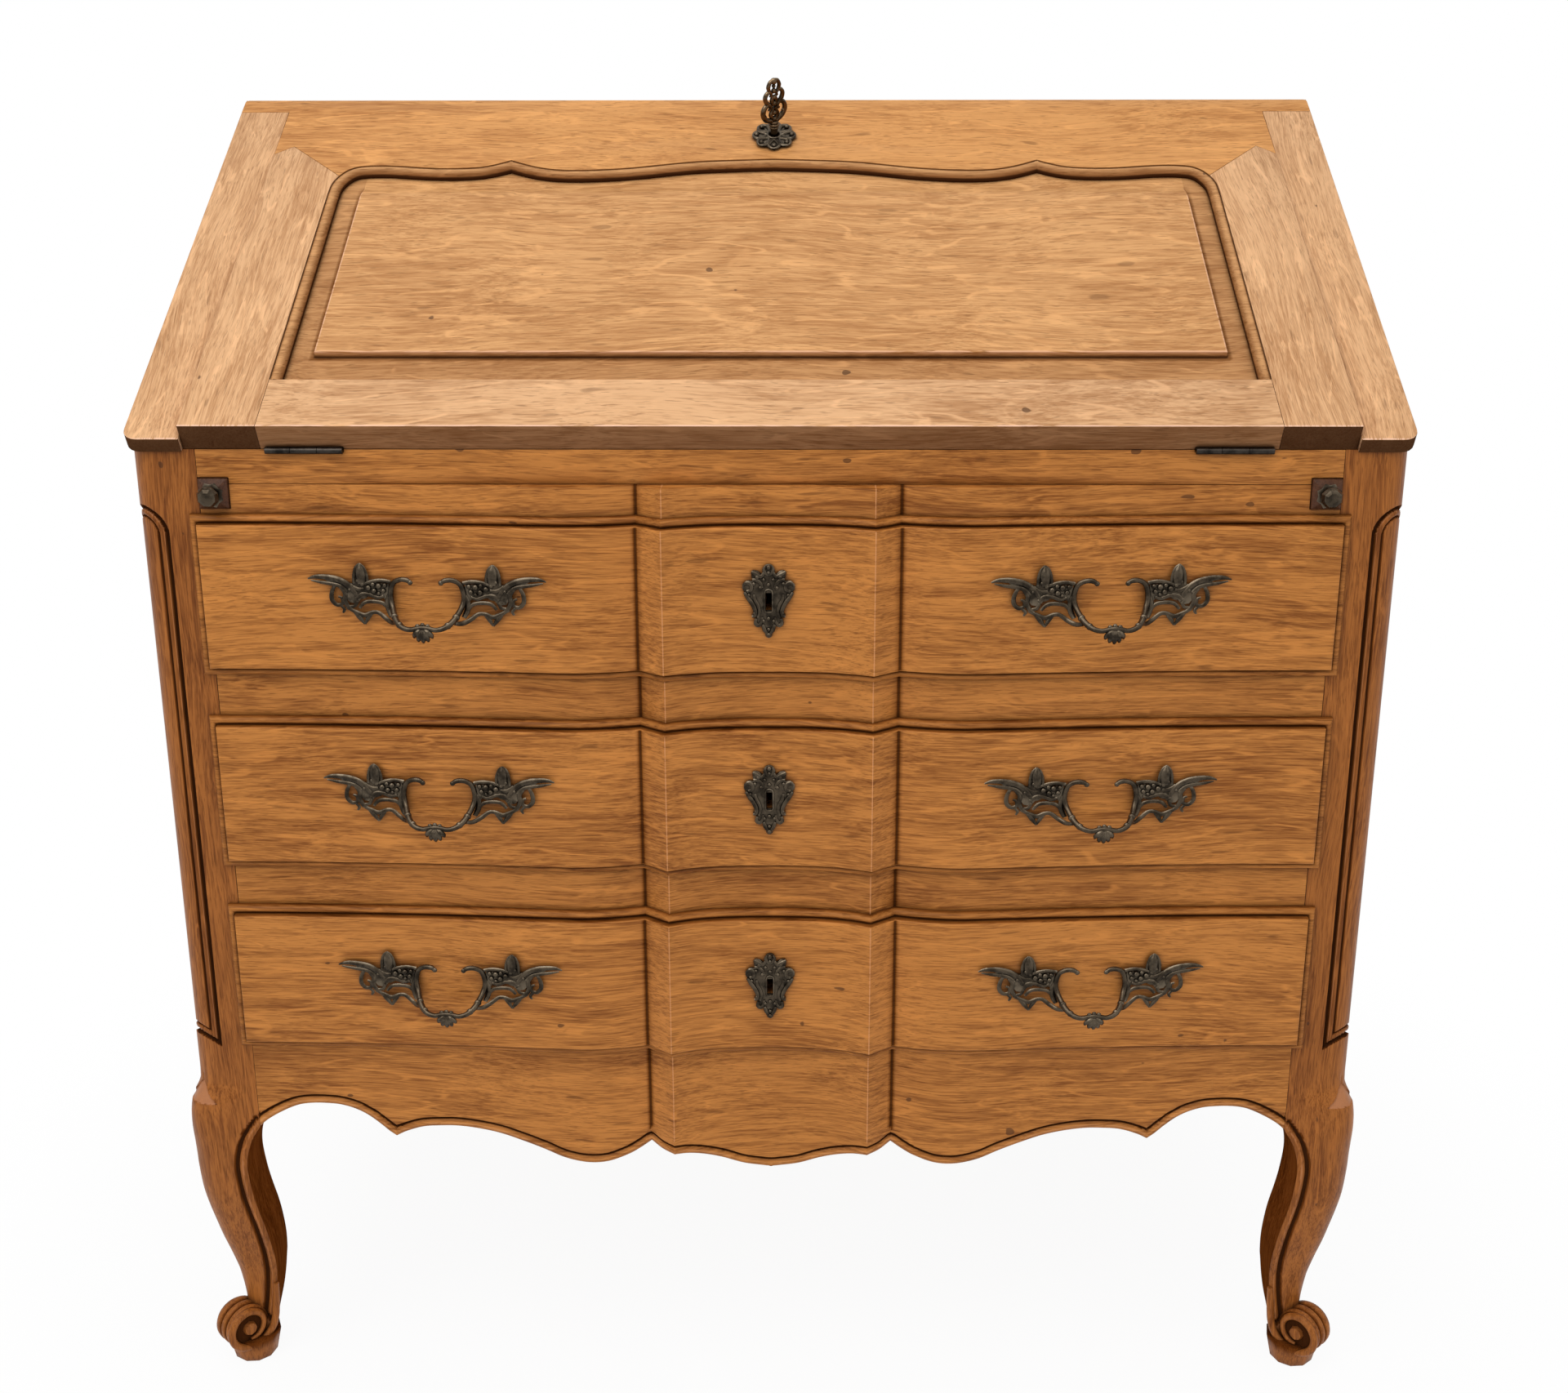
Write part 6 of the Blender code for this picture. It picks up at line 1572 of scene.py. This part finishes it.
def key_mesh():
    """The key in its own frame: z out along its shaft from the lid's axis plane, bow in the x-z plane."""
    bm = bmesh.new()
    face = LID_OUTER_V / MM
    add_sweep(bm, [(0, 0, z * MM) for z in (2.2, 10, face, face + 14)], 3.1 * MM, 18)
    for z, r in ((face + 10.0, 4.0), (face + 12.6, 4.6), (face + 14.8, 4.0)):
        bmesh.ops.create_uvsphere(bm, u_segments=16, v_segments=8, radius=r * MM,
                                  matrix=Matrix.Translation((0, 0, z * MM)) @ Matrix.Diagonal((1, 1, 0.42, 1)))
    add_box(bm, (0, -1.1 * MM, 2.1 * MM), (9.6 * MM, 1.1 * MM, 8.4 * MM))
    base = face + 14.5
    scrolls = (
        ((0.6, 0, 1.6), (4.0, 2.2, 2.0), (8.4, 4.6, 2.0), (11.2, 9.6, 2.0), (10.0, 15.0, 1.9), (5.8, 17.4, 1.7),
         (3.2, 14.6, 1.5), (5.2, 11.6, 1.1)),
        ((1.0, 3.0, 1.4), (3.4, 7.0, 1.7), (2.0, 11.0, 1.6), (0.6, 14.0, 1.4)),
        ((4.6, 17.2, 1.5), (8.0, 20.4, 1.8), (8.8, 25.2, 1.7), (5.4, 28.6, 1.5), (2.6, 26.4, 1.3), (3.6, 23.6, 1.0)),
        ((1.2, 16.0, 1.5), (2.2, 20.0, 1.6), (0.8, 24.0, 1.4)),
        ((4.2, 28.8, 1.3), (5.6, 32.4, 1.6), (3.8, 36.6, 1.5), (0.4, 38.2, 1.2)),
    )
    for hand in (-1, 1):
        for table in scrolls:
            stroke(bm, [(hand * x, base + z, r * 1.12, 0) for x, z, r in table], 1.0)
    add_beads(bm, [(x, 0, base + z, r) for x, z, r in (
        (0, 17.2, 2.5), (0, 28.4, 2.3), (0, 36.8, 2.8), (-5.6, 17.6, 2.0), (5.6, 17.6, 2.0), (0, 9, 2.4), (0, 3, 2.6),
        (-9.6, 8.0, 1.8), (9.6, 8.0, 1.8), (0, 22.6, 2.0), (0, 32.6, 1.8))], "key_bronze", (1, 1, 1))
    return bm


def rosette_mesh():
    """The pierced leaf plate round the lid's keyhole, in lid coordinates about the key."""
    bm = bmesh.new()
    seat = LID_OUTER_V / MM + 0.3
    lobes = 8
    count = lobes * 8
    rings = []
    for height, share in ((0, 1.0), (1.3, 1.0), (1.9, 0.92)):
        ring = []
        for i in range(count):
            angle = 2 * math.pi * i / count
            radius = (13.8 + 2.2 * math.cos(lobes * angle)) * share
            ring.append(bm.verts.new((radius * 0.92 * MM * math.cos(angle), radius * 1.12 * MM * math.sin(angle),
                                      (seat + height) * MM)))
        rings.append(ring)
    hole = []
    for height in (1.9, 0.0):
        hole.append([bm.verts.new((4.3 * MM * math.cos(2 * math.pi * i / count),
                                   4.3 * MM * math.sin(2 * math.pi * i / count), (seat + height) * MM))
                     for i in range(count)])
    rings += hole + [rings[0]]
    skin(bm, rings)
    beads = []
    for i in range(lobes):
        angle = 2 * math.pi * i / lobes
        turn = Matrix.Rotation(angle, 4, "Z")
        start = len(bm.verts)
        for hand in (-1, 1):
            path = smooth_line([(6.2, 0.4 * hand, 1.5), (9.6, 3.2 * hand, 1.8), (13.6, 4.6 * hand, 1.7),
                                (17.2, 2.2 * hand, 1.3), (18.2, -0.6 * hand, 0.7)], 4)
            add_sweep(bm, [(p.x * MM, p.y * MM, (seat + 2.1) * MM) for p in path],
                      [p.z * MM for p in path], 8, 0.8, (0, 0, 1))
        transform_new(bm, start, turn)
        beads.append((15 * math.cos(angle), 15 * math.sin(angle), seat + 2.6, 1.9))
    add_beads(bm, beads, "bronze", (1, 1, 1))
    place_all(bm, Matrix.Diagonal((0.98, 1.14, 1, 1)))
    ring = [(5.6 * MM * math.cos(a), 5.6 * MM * math.sin(a), (seat + 2.4) * MM)
            for a in (2 * math.pi * i / 24 for i in range(25))]
    add_sweep(bm, ring, 1.3 * MM, 8)
    return bm


class DESK_OT_lid_fittings(bpy.types.Operator):
    """Key, pierced plate, lock, bolt and hinges of the lid"""
    bl_idname = "desk.lid_fittings"
    bl_label = "Lid Fittings"

    def execute(self, context):
        at_key = LID_FRAME @ Matrix.Translation((0, KEY_U, 0))
        bm = key_mesh()
        place_all(bm, at_key @ Matrix.Rotation(KEY_LEAN, 4, "Z"))
        make_piece("key_scrolled", bm, "lid_key", "key_bronze", ("key",), 50)
        bm = rosette_mesh()
        place_all(bm, at_key)
        make_piece("lid_rosette_pierced", bm, "lid", "bronze", ("lid_rosette",), 50)
        worn_board("lid_lock", "lid", "old_steel", 0.4 * MM)
        worn_board("lid_bolt", "lid_lock_bolt", "old_steel", 0.4 * MM)
        for word, _ in SIDES:
            worn_board(word + "_hinge_fixed_leaf", "carcass", "old_steel", 0.15 * MM, 1)
            worn_board(word + "_hinge_lid_leaf", "lid", "old_steel", 0.15 * MM, 1)
        return {"FINISHED"}


class DESK_OT_inside(bpy.types.Operator):
    """Pigeonholes, small drawers and drawer runners"""
    bl_idname = "desk.inside"
    bl_label = "Inside"

    def execute(self, context):
        worn_board("gallery", "carcass", "walnut_across", 0.5 * MM)
        for word, _ in SIDES:
            worn_board("small_drawer_" + word, "small_" + word, "walnut_across", 0.5 * MM)
            worn_board(word + "_runner_frame", "carcass", "oak_deep", 0.6 * MM)
        return {"FINISHED"}


# Stage

# The camera fitted to the photograph: metres from the foot of the front's middle, and degrees down, over and round
CAMERA_FROM_FRONT = Vector((0.0231, -1.3097, 1.0013))
CAMERA_TURNS = (17.581, 0.065, 0.52)
LIGHTS_AIM = Vector((0, 0, 0.55))


class DESK_OT_stage(bpy.types.Operator):
    """White floor, soft lights and the camera"""
    bl_idname = "desk.stage"
    bl_label = "Stage"

    def execute(self, context):
        settings = context.scene.desk_stage
        scene = context.scene
        scene.view_settings.view_transform = "Standard"
        self.floor()
        self.world(scene, settings.sky)
        for name, power, size, place in (
                ("key_light", settings.key_light, 2.6, (-1.3, -2.1, 2.7)),
                ("fill_light", settings.fill_light, 2.4, (2.2, -2.0, 1.6)),
                ("top_light", settings.top_light, 2.6, (-0.2, -0.7, 3.1))):
            lamp = bpy.data.lights.new(name, "AREA")
            lamp.energy = power
            lamp.size = size
            obj = bpy.data.objects.new(name, lamp)
            obj.location = place
            obj.rotation_euler = (LIGHTS_AIM - Vector(place)).to_track_quat("-Z", "Y").to_euler()
            scene.collection.objects.link(obj)
        self.camera(scene, settings.lens)
        return {"FINISHED"}

    def floor(self):
        bm = bmesh.new()
        bmesh.ops.create_circle(bm, cap_ends=True, segments=96, radius=30.0)
        mesh = bpy.data.meshes.new("floor")
        bm.to_mesh(mesh)
        bm.free()
        obj = bpy.data.objects.new("floor", mesh)
        bpy.context.scene.collection.objects.link(obj)
        mat, tree, shader = nodes_of("white_floor")
        w = Wiring(tree)
        w.fill(shader, Base_Color=(0.92, 0.92, 0.92, 1), Roughness=0.9, Specular_IOR_Level=0.1)
        glow = w.fill(w.add("ShaderNodeEmission"), Color=(1, 1, 1, 1))
        rays = w.add("ShaderNodeLightPath")
        seen = w.math("MAXIMUM", rays.outputs["Is Camera Ray"], rays.outputs["Is Glossy Ray"])
        seen = w.math("MAXIMUM", seen, rays.outputs["Is Transmission Ray"])
        far = w.fill(w.add("ShaderNodeVectorMath", operation="LENGTH"),
                     Vector=w.add("ShaderNodeTexCoord").outputs["Object"])
        # the floor glows a little less near the desk, which leaves a faint shadow there
        near = w.ramp(far.outputs["Value"], 0.95, 0.35)
        share = w.times(seen, w.plus(near, -0.07, 1.0))
        mixer = w.add("ShaderNodeMixShader")
        for socket, value in zip(mixer.inputs, (share, shader.outputs[0], glow.outputs[0])):
            w.join(value, socket)
        w.join(mixer.outputs[0], tree.nodes["Material Output"].inputs["Surface"])
        mesh.materials.append(mat)

    def world(self, scene, strength):
        world = bpy.data.worlds.new("studio")
        world.use_nodes = True
        scene.world = world
        w = Wiring(world.node_tree)
        sky = world.node_tree.nodes["Background"]
        sky.inputs["Color"].default_value = (1, 1, 1, 1)
        rays = w.add("ShaderNodeLightPath")
        seen = w.math("MAXIMUM", rays.outputs["Is Camera Ray"], rays.outputs["Is Transmission Ray"])
        level = w.plus(seen, 1.0 - strength, strength)
        w.join(level, sky.inputs["Strength"])

    def camera(self, scene, lens):
        data = bpy.data.cameras.new("camera")
        data.lens = lens
        data.sensor_width = 36.0
        obj = bpy.data.objects.new("camera", data)
        pitch, roll, yaw = (math.radians(a) for a in CAMERA_TURNS)
        obj.location = Vector((0, FRONT_Y, 0)) + CAMERA_FROM_FRONT
        obj.rotation_euler = (math.pi / 2 - pitch, roll, yaw)
        scene.collection.objects.link(obj)
        scene.camera = obj


class DESK_PT_panel(bpy.types.Panel):
    """Lists the desk's pieces"""
    bl_idname = "DESK_PT_panel"
    bl_label = "Slant-Front Desk"
    bl_space_type = "VIEW_3D"
    bl_region_type = "UI"
    bl_category = "Desk"

    def draw(self, context):
        for group in ("desk_wood", "desk_metal", "desk_stage"):
            settings = getattr(context.scene, group)
            box = self.layout.box()
            for key in settings.__annotations__:
                box.prop(settings, key)
        for operator in OPERATORS:
            self.layout.operator(operator.bl_idname)


GROUPS = (("desk_wood", DeskWood), ("desk_metal", DeskMetal), ("desk_stage", DeskStage))
OPERATORS = (
    DESK_OT_stage, DESK_OT_front_posts, DESK_OT_front_rails, DESK_OT_apron, DESK_OT_carcass, DESK_OT_drawers,
    DESK_OT_lid, DESK_OT_lid_supports, DESK_OT_pulls, DESK_OT_keyhole_plates, DESK_OT_lid_fittings, DESK_OT_inside)


def register():
    for name, group in GROUPS:
        bpy.utils.register_class(group)
        setattr(bpy.types.Scene, name, bpy.props.PointerProperty(type=group))
    for operator in OPERATORS:
        bpy.utils.register_class(operator)
    bpy.utils.register_class(DESK_PT_panel)


def unregister():
    bpy.utils.unregister_class(DESK_PT_panel)
    for operator in reversed(OPERATORS):
        bpy.utils.unregister_class(operator)
    for name, group in reversed(GROUPS):
        delattr(bpy.types.Scene, name)
        bpy.utils.unregister_class(group)


def main():
    register()
    for operator in OPERATORS:
        category, name = operator.bl_idname.split(".")
        if getattr(getattr(bpy.ops, category), name)() != {"FINISHED"}:
            raise RuntimeError(operator.bl_label + " didn't finish")


if __name__ == "__main__":
    main()
